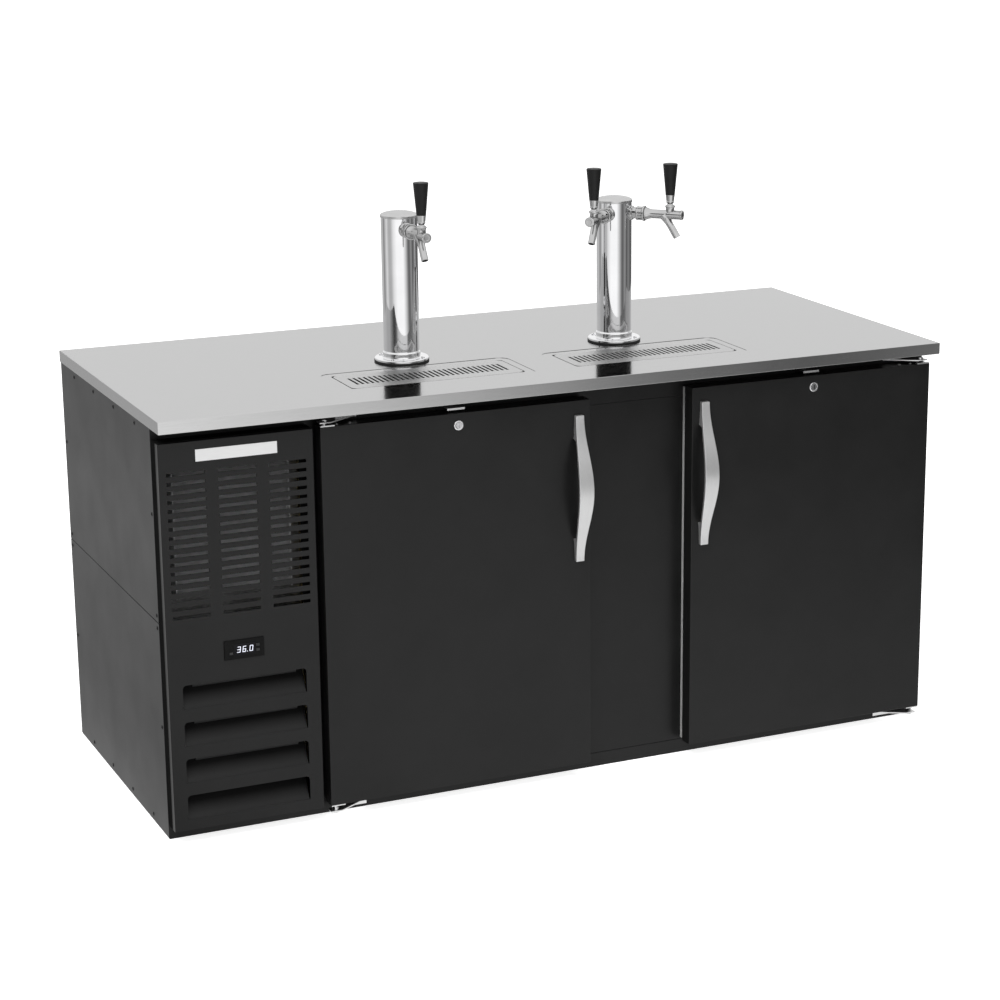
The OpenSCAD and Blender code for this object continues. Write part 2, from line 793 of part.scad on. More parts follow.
module grille_panel() {
    inner_x = [grille_x0 + sheet, grille_x1 - sheet];
    color(black_paint) {
        difference() {
            span([grille_x0, grille_x1], [door_y0, grille_back], [door_z0, door_z1]);
            span(inner_x, [door_y0 + sheet, grille_back - sheet], [door_z0 + sheet, door_z1 - sheet]);
            span([inner_x[0] + flange_back_w, inner_x[1] - flange_back_w], [door_y0 + sheet, grille_back + 1],
                 [door_z0 + sheet, door_z1 - sheet]);
            for (c = [0 : slot_cols - 1], r = [0 : slot_rows - 1])
                translate([grille_xc + (c - (slot_cols - 1) / 2) * slot_col_pitch - slot_len / 2, door_y0 - 1,
                           door_z1 - slot_drop - r * slot_row_pitch - slot_h / 2])
                    cube([slot_len, sheet + 2, slot_h]);
            for (k = [0 : louvres - 1])
                translate([grille_xc, door_y0, louvre_z + k * louvre_pitch])
                    louvre_hole();
            translate([grille_xc - cutout_w / 2, door_y0 - 1, controller_z - cutout_h / 2])
                cube([cutout_w, sheet + 2, cutout_h]);
        }
        for (k = [0 : louvres - 1])
            translate([grille_xc, door_y0 + sheet, louvre_z + k * louvre_pitch])
                louvre_flap();
        for (x = [bay_x0 + lip_w / 2, bay_x1 - lip_w + standoff_r + 1],
             z = [door_z0 + standoff_inset, door_z1 - standoff_inset])
            rod_y(x, grille_back - sheet, z, standoff_r, standoff + sheet);
    }
}

module name_plate() {
    plate_t = 1;
    color(satin)
        translate([grille_xc - plate_w / 2, door_y0 - plate_t, door_z1 - plate_drop - plate_h / 2])
            cube([plate_w, plate_t, plate_h]);
}

// Controller

key_x = [-face_w / 2 + 13.5, face_w / 2 - 13.5, face_w / 2 - 13.5];
key_z = [-6.5, 5.2, -5.2];
key_depth = 2;
window_w = 44;
window_h = 24;
window_t = 1;
face_y = door_y0 - face_t;

module controller_case() {
    color(dark_plastic)
        translate([grille_xc, face_y, controller_z])
            difference() {
                union() {
                    span([-face_w / 2, face_w / 2], [0, face_t], [-face_h / 2, face_h / 2]);
                    span([-cutout_w / 2 + seat_fit, cutout_w / 2 - seat_fit], [face_t - 1, face_t + case_d],
                         [-cutout_h / 2 + seat_fit, cutout_h / 2 - seat_fit]);
                }
                span([-window_w / 2, window_w / 2], [-1, window_t], [-window_h / 2, window_h / 2]);
                for (k = [0 : 2])
                    translate([key_x[k], 0, key_z[k]])
                        span([-key_w / 2 - move_gap, key_w / 2 + move_gap], [-1, key_depth + key_proud],
                             [-key_h / 2 - move_gap, key_h / 2 + move_gap]);
            }
}

module controller_window() {
    color([0.05, 0.05, 0.06])
        translate([grille_xc, face_y, controller_z])
            span([-window_w / 2 + seat_fit / 2, window_w / 2 - seat_fit / 2], [0, window_t],
                 [-window_h / 2 + seat_fit / 2, window_h / 2 - seat_fit / 2]);
}

module key(k) {
    color([0.22, 0.22, 0.23])
        translate([grille_xc + key_x[k], face_y, controller_z + key_z[k]])
            span([-key_w / 2, key_w / 2], [-key_proud, key_depth], [-key_h / 2, key_h / 2]);
}

module key_set() { key(0); }
module key_up() { key(1); }
module key_down() { key(2); }

// Screws

module panel_screw(y, z) {
    rod_x(x_l - screw_head_t, y, z, screw_r, screw_head_t);
}

module screws() {
    pitch = (cabinet_d - 2 * screw_end) / (screw_rows - 1);
    flange_top = gasket_z + flange_t;
    color(satin) {
        for (k = [0 : screw_rows - 1], z = [base_h / 2, top_z - screw_edge])
            panel_screw(y_f + screw_end + k * pitch, z);
        for (dz = [-2 * screw_end, -screw_edge, screw_edge, 2 * screw_end],
             y = [y_f + screw_edge, y_b - screw_edge])
            panel_screw(y, seam_z + dz);
        for (x = station, a = [45 : 90 : 315])
            translate([x, tower_y, flange_top])
                rotate([0, 0, a])
                    translate([flange_screw_circle, 0, 0])
                        cylinder(r = screw_r, h = 2 * screw_head_t);
    }
}

// Door hardware on the cabinet

module hinge_bracket(i, collar) {
    s = hinge_side[i];
    edge = i == 0 ? door_x0[0] : door_x0[1] + door_w;
    front = pivot_y - hinge_pin_r - 5;
    arm_w = 45;
    leg_t = 3;
    leg_h = 10;
    collar_r = hinge_pin_r + 1.5;
    head_h = 3.5;
    translate([edge, 0, 0])
        mirror([s > 0 ? 1 : 0, 0, 0]) {
            linear_extrude(hinge_plate_t)
                polygon([[hinge_plate_len - arm_w, y_f], [2, pivot_y + hinge_pin_r + 4], [2, front],
                         [2 * hinge_inset - 2, front], [hinge_plate_len, y_f]]);
            span([hinge_plate_len - arm_w, hinge_plate_len], [y_f - leg_t, y_f],
                 [hinge_plate_t - leg_h, hinge_plate_t]);
        }
    translate([pivot_x[i], pivot_y, 0]) {
        translate([0, 0, -head_h])
            cylinder(r = collar_r, h = head_h + hinge_plate_t + collar);
        cylinder(r = hinge_pin_r, h = hinge_plate_t + collar + move_gap + hinge_pin_len);
    }
}

module hinge_brackets() {
    reach = hinge_plate_t + move_gap;
    color(satin)
        for (i = [0, 1]) {
            translate([0, 0, door_z0 - reach - hinge_collar_low])
                hinge_bracket(i, hinge_collar_low);
            translate([0, 0, door_z1 + reach + hinge_collar_top])
                mirror([0, 0, 1])
                    hinge_bracket(i, hinge_collar_top);
        }
}

module lock_strikes() {
    lip_y = cam_y0 - 2 - strike_t;
    color(satin)
        for (x = door_xc)
            translate([x, 0, 0]) {
                span([-strike_w / 2, strike_w / 2], [lip_y, y_f], [strike_tab_z, strike_tab_z + strike_t]);
                span([-strike_w / 2, strike_w / 2], [lip_y, lip_y + strike_t],
                     [strike_lip_z, strike_tab_z + strike_t]);
                span([-strike_w / 2, strike_w / 2], [y_f - strike_t, y_f], [strike_tab_z, top_z - 1]);
            }
}

// Doors

module lock_chase(i) {
    x = door_xc[i];
    span([x - lock_barrel_r - 1, x + cam_len + 4], [cam_y0 - 1, cam_y0 + cam_t + 1.5],
         [lock_z - lock_barrel_r - 1, door_z1 - sheet]);
    rod_y(x, door_y0, lock_z, lock_barrel_r + seat_fit, cam_y0 - door_y0);
}

module hinge_bores(i) {
    for (z = [door_z0 - 1, door_z1 - hinge_pin_len - 1])
        translate([pivot_x[i], pivot_y, z])
            cylinder(r = hinge_pin_r + run_fit, h = hinge_pin_len + 2);
}

module door_skin(i) {
    x0 = door_x0[i];
    x1 = x0 + door_w;
    color(black_paint)
        difference() {
            span([x0, x1], [door_y0, door_y1], [door_z0, door_z1]);
            span([x0 + sheet, x1 - sheet], [door_y0 + sheet, door_y1 + 1],
                 [door_z0 + sheet, door_z1 - sheet]);
            hinge_bores(i);
            rod_y(door_xc[i], door_y0 - 1, lock_z, lock_barrel_r + seat_fit, sheet + 2);
            span([door_xc[i] - cam_w / 2 - 3, door_xc[i] + cam_len - 3], [cam_y0 - 1, cam_y0 + cam_t + 1.5],
                 [door_z1 - sheet - 1, door_z1 + 1]);
        }
}

module door_liner(i) {
    x0 = door_x0[i] + sheet;
    x1 = door_x0[i] + door_w - sheet;
    plinth_in = door_lap + 12;
    color(liner_white)
        difference() {
            union() {
                span([x0, x1], [door_y0 + sheet, door_y1], [door_z0 + sheet, door_z1 - sheet]);
                span([door_x0[i] + plinth_in, door_x0[i] + door_w - plinth_in],
                     [door_y1 - 1, door_y1 + plinth_d],
                     [door_z0 + plinth_in, door_z1 - plinth_in]);
            }
            hinge_bores(i);
            lock_chase(i);
        }
}

module door_gasket(i) {
    free_inset = 0.5;
    end_inset = 4;
    inset_l = i == 0 ? hinge_inset : free_inset;
    inset_r = i == 0 ? free_inset : hinge_inset;
    x0 = door_x0[i] + inset_l;
    x1 = door_x0[i] + door_w - inset_r;
    z0 = door_z0 + end_inset;
    z1 = door_z1 - end_inset;
    color(seal_grey)
        difference() {
            span([x0, x1], [door_y1, y_f - move_gap], [z0, z1]);
            span([x0 + gasket_w, x1 - gasket_w], [door_y1 - 1, y_f], [z0 + gasket_w, z1 - gasket_w]);
        }
}

// Stand-out and half width of a door handle at t, which runs from -1 to 1 along it
function bow_out(t) = handle_end_t + (handle_reach - handle_end_t) * pow(cos(90 * t), 2);
function bow_half_w(t) = (handle_end_w + (handle_mid_w - handle_end_w) * pow(cos(90 * t), 2)) / 2;

module door_handle(i) {
    half = handle_len / 2;
    steps = 12;
    ts = [for (k = [-steps : steps]) k / steps];
    gap = [for (k = [-steps : steps]) k / steps * (half - handle_foot) / half];
    color(satin)
        translate([handle_x[i], door_y0, door_z1 - handle_top - half])
            intersection() {
                rotate([90, 0, 0])
                    linear_extrude(handle_reach + 1)
                        polygon(concat([for (t = ts) [bow_half_w(t), t * half]],
                                       [for (t = ts) [-bow_half_w(-t), -t * half]]));
                rotate([90, 0, 90])
                    translate([0, 0, -handle_mid_w])
                        linear_extrude(2 * handle_mid_w)
                            polygon(concat([for (t = ts) [-bow_out(t), t * half]],
                                           [[0, half], [0, half - handle_foot]],
                                           [for (t = gap) [-bow_out(t) + handle_bow_t, -t * half]],
                                           [[0, -half + handle_foot], [0, -half]]));
            }
}

module lock_body(i) {
    color(satin)
        difference() {
            union() {
                rod_y(door_xc[i], door_y0 - lock_face_t, lock_z, lock_face_r, lock_face_t);
                rod_y(door_xc[i], door_y0 - 1, lock_z, lock_barrel_r, cam_y0 - door_y0 + 1 - move_gap);
            }
            rod_y(door_xc[i], door_y0 - lock_face_t - 1, lock_z, lock_plug_r + run_fit,
                  cam_y0 - door_y0 + lock_face_t + 2);
        }
}

module lock_plug(i) {
    plug_y = door_y0 - lock_face_t - 0.4;
    key_slot = 2;
    color(chrome) {
        difference() {
            rod_y(door_xc[i], plug_y, lock_z, lock_plug_r, cam_y0 + cam_t - plug_y);
            span([door_xc[i] - key_slot / 2, door_xc[i] + key_slot / 2], [plug_y - 1, plug_y + 8],
                 [lock_z - lock_plug_r + 2, lock_z + lock_plug_r - 2]);
        }
        translate([door_xc[i], cam_y0, lock_z]) {
            span([0, cam_len - cam_w / 2], [0, cam_t], [-cam_w / 2, cam_w / 2]);
            rod_y(cam_len - cam_w / 2, 0, 0, cam_w / 2, cam_t);
        }
    }
}

module left_door_skin() { door_skin(0); }
module left_door_liner() { door_liner(0); }
module left_door_gasket() { door_gasket(0); }
module left_door_handle() { door_handle(0); }
module left_lock_body() { lock_body(0); }
module left_lock_plug() { lock_plug(0); }
module right_door_skin() { door_skin(1); }
module right_door_liner() { door_liner(1); }
module right_door_gasket() { door_gasket(1); }
module right_door_handle() { door_handle(1); }
module right_lock_body() { lock_body(1); }
module right_lock_plug() { lock_plug(1); }

// Towers

module tower(x, angles) {
    ring_r = column_r + 2;
    color(chrome)
        difference() {
            translate([x, tower_y, gasket_z])
                rotate_extrude()
                    polygon([[column_r - column_wall, 0], [flange_r, 0], [flange_r, flange_t - 1.5],
                             [flange_r - 1.5, flange_t], [ring_r, flange_t],
                             [ring_r, flange_t + foot_ring_h - 2],
                             [column_r, flange_t + foot_ring_h], [column_r, column_top - gasket_z],
                             [column_r - column_wall, column_top - gasket_z]]);
            for (a = angles)
                translate([x, tower_y, tap_z])
                    rotate([0, 0, a])
                        translate([0, -shank_in, 0])
                            rotate([90, 0, 0])
                                cylinder(r = shank_r + seat_fit, h = column_r);
        }
}

module single_tower() { tower(station[0], [taps[0][1]]); }
module double_tower() { tower(station[1], [taps[1][1], taps[2][1]]); }

module tower_caps() {
    cap_r = column_r + 2;
    skirt = column_rise - collar_r - seat_fit;
    plug_h = column_rise - shank_r - 1;
    cap_edge = 4;
    crown = 7;
    color(chrome)
        for (x = station)
            translate([x, tower_y, column_top])
                rotate_extrude()
                    polygon(concat([[0, -plug_h], [column_r - column_wall - seat_fit, -plug_h],
                                    [column_r - column_wall - seat_fit, 0], [column_r + seat_fit / 2, 0],
                                    [column_r + seat_fit / 2, -skirt], [cap_r, -skirt], [cap_r, cap_edge]],
                                   [for (k = [1 : 6])
                                       [cap_r * cos(15 * k), cap_edge + crown * sin(15 * k)]]));
}

module tower_gaskets() {
    color(dark_plastic)
        for (x = station)
            translate([x, tower_y, counter_h])
                difference() {
                    cylinder(r = flange_r - 0.5, h = tower_gasket_t);
                    translate([0, 0, -1])
                        cylinder(r = column_r - column_wall, h = tower_gasket_t + 2);
                }
}

// Taps

module faucet_shanks() {
    bore_r = 6.5;
    color(chrome)
        for (i = [0 : 2])
            at_tap(i)
                difference() {
                    tap_turned()
                        polygon([[bore_r, shank_in], [shank_r, shank_in], [shank_r, column_r - 3],
                                 [collar_r, column_r - 3],
                                 [collar_r, collar_reach - 2], [collar_r - 2, collar_reach],
                                 [shank_r, collar_reach],
                                 [shank_r, nut_y1 - 5], [bore_r, nut_y1 - 5]]);
                    difference() {
                        translate([0, 0, -collar_r - 1])
                            cylinder(r = column_r + seat_fit / 2, h = 2 * collar_r + 2);
                        translate([0, -shank_in + 1, 0])
                            rotate([90, 0, 0])
                                cylinder(r = shank_r, h = column_r);
                    }
                }
}

module coupling_nuts() {
    color(chrome)
        for (i = [0 : 2])
            at_tap(i) {
                difference() {
                    tap_turned()
                        polygon([[shank_r + seat_fit, nut_y0], [nut_r - 1, nut_y0], [nut_r, nut_y0 + 1],
                                 [nut_r, nut_y1 - 4],
                                 [nut_r + nut_lip, nut_y1 - 3], [nut_r + nut_lip, nut_y1],
                                 [shank_r + seat_fit, nut_y1]]);
                    for (a = [0 : 60 : 300])
                        rotate([0, a, 0])
                            translate([0, -(nut_y0 + nut_y1) / 2, nut_r - 1])
                                cylinder(r = nut_flute_r, h = nut_flute_r);
                }
                translate([0, -lever_reach, pivot_rise - 1])
                    rotate_extrude()
                        polygon([[ball_bore_r + 0.1, 0], [boss_r, 0], [boss_r, bonnet_h - 1.5],
                                 [boss_r - 1.5, bonnet_h],
                                 [ball_r - 1, bonnet_h], [ball_bore_r + 0.1, 1]]);
            }
}

module faucet_body_profile() {
    tail_r = shank_r - 0.1;
    nose = lever_reach + nose_len;
    polygon([[0, nut_y1 - 4.5], [tail_r, nut_y1 - 4.5], [tail_r, nut_y1 + 1], [nut_r - 1.5, nut_y1 + 1],
             [faucet_r, nut_y1 + faucet_taper], [faucet_r, nose - 5], [faucet_r + 0.7, nose - 4.3],
             [faucet_r + 0.7, nose - 1.2], [faucet_r - 1.2, nose], [0, nose]]);
}

module faucet_bodies() {
    spout_lean = atan(spout_run / spout_drop);
    spout_len = sqrt(spout_run * spout_run + spout_drop * spout_drop);
    spout_root = lever_reach + 16 - spout_run;
    spout_bore_r = spout_r - spout_wall;
    bore_end = lever_reach + nose_len - 6;
    color(chrome)
        for (i = [0 : 2])
            at_tap(i)
                difference() {
                    union() {
                        tap_turned()
                            faucet_body_profile();
                        translate([0, -spout_root, 0])
                            rotate([180 - spout_lean, 0, 0]) {
                                cylinder(r = spout_r, h = spout_len);
                                cylinder(r1 = spout_r + spout_shoulder, r2 = spout_r, h = spout_len / 2);
                            }
                        translate([0, -lever_reach, 0])
                            cylinder(r = boss_r, h = pivot_rise - 1);
                    }
                    translate([0, -nut_y1 + 6, 0])
                        rotate([90, 0, 0])
                            cylinder(r = faucet_bore_r, h = bore_end - nut_y1 + 6);
                    translate([0, -spout_root, 0])
                        rotate([180 - spout_lean, 0, 0])
                            cylinder(r = spout_bore_r, h = spout_len + 1);
                    translate([0, -lever_reach, 0])
                        cylinder(r = ball_bore_r, h = pivot_rise + 1);
                    span([-finger_r - 1.2, finger_r + 1.2],
                         [-lever_reach - lever_relief, -lever_reach + lever_relief],
                         [0, faucet_bore_r + 2.4]);
                }
}

module tap_lever(i) {
    color(chrome)
        at_tap(i)
            translate([0, -lever_reach, pivot_rise]) {
                sphere(r = ball_r);
                cylinder(r = stem_r, h = ferrule_foot + 2);
                translate([0, 0, -pivot_rise - 2])
                    cylinder(r = finger_r, h = pivot_rise);
                translate([0, 0, ferrule_foot])
                    cylinder(r1 = tap_handle_foot_r - 2.5, r2 = tap_handle_foot_r, h = ferrule_len);
            }
}

module tap_handle(i) {
    rim = 1.5;
    color(dark_plastic)
        at_tap(i)
            translate([0, -lever_reach, pivot_rise + handle_foot_z])
                rotate_extrude()
                    polygon([[0, 0], [tap_handle_foot_r, 0], [tap_handle_top_r, tap_handle_len - rim],
                             [tap_handle_top_r - rim, tap_handle_len], [0, tap_handle_len]]);
}

module tap_plunger(i) {
    block_y0 = lever_reach - slot_back - 4;
    block_y1 = lever_reach + slot_front + 4;
    seal_y = nut_y1 + 5;
    color(steel)
        at_tap(i)
            difference() {
                tap_turned()
                    polygon([[0, seal_y], [plunger_r, seal_y], [plunger_r, seal_y + 3], [3, seal_y + 4],
                             [3, block_y0],
                             [plunger_r, block_y0], [plunger_r, block_y1], [0, block_y1]]);
                span([-finger_r - 1, finger_r + 1], [-lever_reach - slot_front, -lever_reach + slot_back],
                     [-finger_r - 1.5, faucet_bore_r + 1]);
            }
}

module single_tap_lever() { tap_lever(0); }
module single_tap_handle() { tap_handle(0); }
module single_tap_plunger() { tap_plunger(0); }
module double_left_tap_lever() { tap_lever(1); }
module double_left_tap_handle() { tap_handle(1); }
module double_left_tap_plunger() { tap_plunger(1); }
module double_right_tap_lever() { tap_lever(2); }
module double_right_tap_handle() { tap_handle(2); }
module double_right_tap_plunger() { tap_plunger(2); }

// Machinery

// A fan with tilted flat blades that blows along Z, with its hub bored for the shaft
module fan(tip_r, depth) {
    hub_r = tip_r / 5;
    blade_t = 1.5;
    pitch = 28;
    difference() {
        union() {
            cylinder(r = hub_r, h = depth);
            intersection() {
                difference() {
                    cylinder(r = tip_r, h = depth);
                    translate([0, 0, -1])
                        cylinder(r = hub_r - 1, h = depth + 2);
                }
                for (a = [0 : fan_blades - 1])
                    rotate([0, 0, a * 360 / fan_blades])
                        translate([tip_r / 2, 0, depth / 2])
                            rotate([pitch, 0, 0])
                                cube([tip_r, tip_r * 0.7, blade_t], center = true);
            }
        }
        translate([0, 0, -1])
            cylinder(r = fan_shaft_r + run_fit, h = depth + 2);
    }
}

module condenser_fan() {
    color([0.55, 0.55, 0.56])
        translate([bay_xc, fan_y0, fan_z])
            rotate([-90, 0, 0])
                fan(fan_r, fan_depth);
}

module evaporator_fan() {
    color([0.30, 0.30, 0.31])
        translate([cool_fan_x0, evap_yc, cool_fan_z])
            rotate([0, 90, 0])
                fan(cool_fan_r, cool_fan_depth);
}

module fan_motors() {
    motor_r = 38;
    motor_len = 60;
    strap_h = 20;
    strap_t = 3;
    arm = 10;
    cool_motor_r = 30;
    color([0.35, 0.35, 0.36]) {
        translate([bay_xc, 0, fan_z]) {
            rod_y(0, motor_y0, 0, motor_r, motor_len);
            rod_y(0, fan_y0, 0, fan_shaft_r, motor_y0 - fan_y0 + 1);
            span([-strap_x - arm, strap_x + arm], [motor_y0 - strap_t, motor_y0],
                 [-strap_h / 2, strap_h / 2]);
            for (s = [-1, 1])
                translate([s * (strap_x + arm / 2), 0, 0])
                    span([-arm / 2, arm / 2], [shroud_y + sheet, motor_y0], [-strap_h / 2, strap_h / 2]);
        }
        rod_x(in_x0, evap_yc, cool_fan_z, cool_motor_r, cool_fan_x0 - in_x0 - 6);
        rod_x(in_x0, evap_yc, cool_fan_z, fan_shaft_r, cool_fan_x0 - in_x0 + cool_fan_depth);
    }
}

module condenser_coil() {
    fin_pitch = 40;
    fin_depth = 4;
    color([0.42, 0.42, 0.43])
        difference() {
            span([bay_xc - coil_w / 2, bay_xc + coil_w / 2], [coil_y0, shroud_y], [coil_z, coil_z + coil_h]);
            for (z = [coil_z + fin_pitch / 2 : fin_pitch : coil_z + coil_h - fin_pitch / 2])
                span([bay_xc - coil_w / 2 + 10, bay_xc + coil_w / 2 - 10],
                     [coil_y0 - 1, coil_y0 + fin_depth], [z - 12, z + 12]);
        }
}

module condenser_shroud() {
    ring_d = 22;
    color([0.38, 0.38, 0.39])
        difference() {
            union() {
                span([bay_xc - shroud_w / 2, bay_xc + shroud_w / 2], [shroud_y, shroud_y + sheet],
                     [base_t, coil_z + coil_h]);
                rod_y(bay_xc, shroud_y, fan_z, fan_r + fan_gap, ring_d);
            }
            rod_y(bay_xc, shroud_y - 1, fan_z, fan_r + fan_gap - sheet, ring_d + 2);
            rod_y(discharge_x, shroud_y - 1, discharge_z, pipe_r + pipe_fit, sheet + 2);
            rod_y(liquid_x, shroud_y - 1, liquid_z, pipe_r + pipe_fit, sheet + 2);
            leg_block_at(-1, -1, slab_gap);
        }
}

module compressor() {
    dome = 22;
    foot_w = 170;
    foot_t = 4;
    grommet_r = 12;
    color([0.08, 0.08, 0.08])
        translate([bay_xc, compressor_y, 0]) {
            translate([0, 0, compressor_foot])
                rotate_extrude()
                    polygon(concat([[0, 0], [compressor_r - 10, 0], [compressor_r, 12]],
                                   [for (k = [0 : 6])
                                       [compressor_r * cos(15 * k),
                                        compressor_h - dome + dome * sin(15 * k)]]));
            span([-foot_w / 2, foot_w / 2], [-foot_w / 2, foot_w / 2],
                 [compressor_foot - foot_t, compressor_foot]);
            for (sx = [-1, 1], sy = [-1, 1])
                translate([sx * (foot_w / 2 - 16), sy * (foot_w / 2 - 16), base_t])
                    cylinder(r = grommet_r, h = grommet_h);
        }
}

// A pipe through a list of points, with a ball at each bend
module pipe_run(points) {
    for (k = [0 : len(points) - 2]) {
        step = points[k + 1] - points[k];
        translate(points[k])
            rotate([0, acos(step[2] / norm(step)), atan2(step[1], step[0])])
                cylinder(r = pipe_r, h = norm(step));
        if (k > 0)
            translate(points[k])
                sphere(r = pipe_r);
    }
}

module refrigerant_pipes() {
    shell = compressor_r + run_fit;
    color(copper) {
        pipe_run([[bay_xc - shell, compressor_y, pipe_start_z], [discharge_x, compressor_y, pipe_start_z],
                  [discharge_x, compressor_y, discharge_z], [discharge_x, shroud_y, discharge_z]]);
        pipe_run([[bay_xc + shell, compressor_y, pipe_start_z], [suction_x, compressor_y, pipe_start_z],
                  [suction_x, compressor_y, suction_z], [in_x0, compressor_y, suction_z]]);
        pipe_run([[liquid_x, shroud_y, liquid_z], [liquid_x, liquid_y, liquid_z],
                  [in_x0, liquid_y, liquid_z]]);
    }
}

module evaporator_coil() {
    side = 8;
    color([0.75, 0.76, 0.78])
        span([in_x0, in_x0 + evap_coil_d], [evap_y0 + side, evap_y0 + evaporator_len - side],
             [evap_z0 + side, evap_z0 + side + evap_coil_h]);
}

module evaporator_cover() {
    slot_n = 8;
    slot_len_y = 30;
    color(liner_white)
        difference() {
            span([in_x0, in_x0 + evaporator_d], [evap_y0, evap_y0 + evaporator_len], [evap_z0, evap_z1]);
            span([in_x0 - 1, in_x0 + evaporator_d - sheet],
                 [evap_y0 + sheet, evap_y0 + evaporator_len - sheet],
                 [evap_z0 + sheet, evap_z1 - sheet]);
            rod_x(in_x0 + evaporator_d - sheet - 1, evap_yc, cool_fan_z, cool_fan_r + 3, sheet + 2);
            for (k = [0 : slot_n - 1])
                translate([in_x0 + evaporator_d - sheet - 1,
                           evap_yc + (k - slot_n / 2 + 0.5) * 40 - slot_len_y / 2, evap_z0 + 30])
                    cube([sheet + 2, slot_len_y, 60]);
        }
}

module wall_grommets() {
    sleeve_r = gas_port_r + sleeve_wall;
    color(dark_plastic) {
        translate([gas_port[0], 0, gas_port[1]])
            difference() {
                union() {
                    rod_y(0, in_y1, 0, sleeve_r, y_b - in_y1 + sleeve_lip_t);
                    rod_y(0, y_b, 0, sleeve_r + sleeve_lip, sleeve_lip_t);
                }
                rod_y(0, in_y1 - 1, 0, gas_port_r, y_b - in_y1 + sleeve_lip_t + 2);
            }
        translate([gland[0], 0, gland[1]])
            difference() {
                union() {
                    rod_y(0, y_b - gland_in, 0, gland_r, gland_in + gland_out);
                    rod_y(0, y_b, 0, gland_r + gland_lip, gland_lip);
                }
                rod_y(0, y_b - gland_in - 1, 0, cord_r, gland_in + gland_out + 2);
            }
    }
}

base_pan();
left_side_panels();
right_side_panel();
rear_panel();
front_frame();
insulation();
inner_liner();
worktop();
drip_pans();
tray_drains();
grille_panel();
screws();
controller_case();
controller_window();
name_plate();
hinge_brackets();
lock_strikes();
single_tower();
double_tower();
tower_caps();
tower_gaskets();
faucet_shanks();
coupling_nuts();
faucet_bodies();
compressor();
condenser_coil();
condenser_shroud();
fan_motors();
refrigerant_pipes();
evaporator_coil();
evaporator_cover();
wall_grommets();
condenser_fan();
evaporator_fan();
drip_grille_left();
drip_grille_right();
key_set();
key_up();
key_down();
left_door_skin();
left_door_liner();
left_door_gasket();
left_door_handle();
left_lock_body();
left_lock_plug();
right_door_skin();
right_door_liner();
right_door_gasket();
right_door_handle();
right_lock_body();
right_lock_plug();
single_tap_lever();
single_tap_handle();
single_tap_plunger();
double_left_tap_lever();
double_left_tap_handle();
double_left_tap_plunger();
double_right_tap_lever();
double_right_tap_handle();
double_right_tap_plunger();
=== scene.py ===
# %% [markdown]
# # A keg cooler with two doors and three taps
#
# The real thing is a black steel cabinet with a machine bay on its left, a stainless worktop with two
# drip trays, and two chrome towers. Its solids are already made in CAD, so this lesson loads them as
# a fixed frame and dresses them: sheet metal gets soft edges, turned and bent pieces get smooth
# shapes, and every surface gets a finish. A piece made here stays at the origin with its place in its
# mesh, in metres, just as the solids do. Meshes are shaped in millimetres, because that is how the
# pieces are measured, and scaled once at the end.

import json
from math import cos, pi, radians, sin

import bmesh
import bpy
from mathutils import Matrix, Vector

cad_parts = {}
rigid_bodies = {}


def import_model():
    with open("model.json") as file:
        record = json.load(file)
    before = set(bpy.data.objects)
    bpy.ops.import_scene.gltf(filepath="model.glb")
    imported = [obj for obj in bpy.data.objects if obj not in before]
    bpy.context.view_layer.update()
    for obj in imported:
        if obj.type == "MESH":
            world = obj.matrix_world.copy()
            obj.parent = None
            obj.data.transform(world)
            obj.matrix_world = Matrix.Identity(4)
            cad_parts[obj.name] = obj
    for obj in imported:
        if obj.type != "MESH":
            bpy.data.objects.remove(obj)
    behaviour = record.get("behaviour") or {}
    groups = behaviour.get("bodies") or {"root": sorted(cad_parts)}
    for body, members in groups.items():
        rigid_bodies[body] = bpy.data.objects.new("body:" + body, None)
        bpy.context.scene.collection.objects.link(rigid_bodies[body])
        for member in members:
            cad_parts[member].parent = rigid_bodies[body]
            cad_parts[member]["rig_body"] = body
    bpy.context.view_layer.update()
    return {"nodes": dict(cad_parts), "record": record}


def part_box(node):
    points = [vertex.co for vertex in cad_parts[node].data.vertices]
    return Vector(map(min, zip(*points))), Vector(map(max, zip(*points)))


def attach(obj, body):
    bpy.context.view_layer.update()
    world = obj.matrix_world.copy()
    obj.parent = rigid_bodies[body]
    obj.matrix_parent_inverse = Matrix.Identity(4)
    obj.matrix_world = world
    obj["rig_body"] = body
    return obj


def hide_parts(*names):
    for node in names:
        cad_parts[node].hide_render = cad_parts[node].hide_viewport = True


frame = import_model()

# %% [markdown]
# ## Camera
#
# The view is from the front left, a little above the worktop. A camera can be pointed with a
# constraint or with plain angles. Plain angles are used here, because they can be read and repeated,
# and a long lens from five metres away keeps the upright edges almost parallel.

# %% Set the camera
# Turns of the camera from level and from straight on, in radians
DOWNWARD = 0.271003
LEFTWARD = 0.447234
lens = bpy.data.cameras.new("studio_camera")
lens.sensor_width = 36
lens.lens = 92.36
lens.shift_x = -0.1027
lens.shift_y = 0.0221
camera = bpy.data.objects.new("studio_camera", lens)
camera.location = (-2.1648, -5.0482, 1.9964)
camera.rotation_euler = (pi / 2 - DOWNWARD, 0, -LEFTWARD)
bpy.context.scene.collection.objects.link(camera)
bpy.context.scene.camera = camera
bpy.context.scene.view_settings.view_transform = "Standard"
print("camera lens:", lens.lens, "mm")

# %% [markdown]
# ## Studio
#
# A product like this is shot on a white sweep. A pale world stands for the sweep, and the floor is a
# sheet of paper. Both could be plain white, but the camera, the light on the cabinet and the mirror
# image in steel each need their own brightness. The Light Path node tells these rays apart, so each
# gets its own strength.


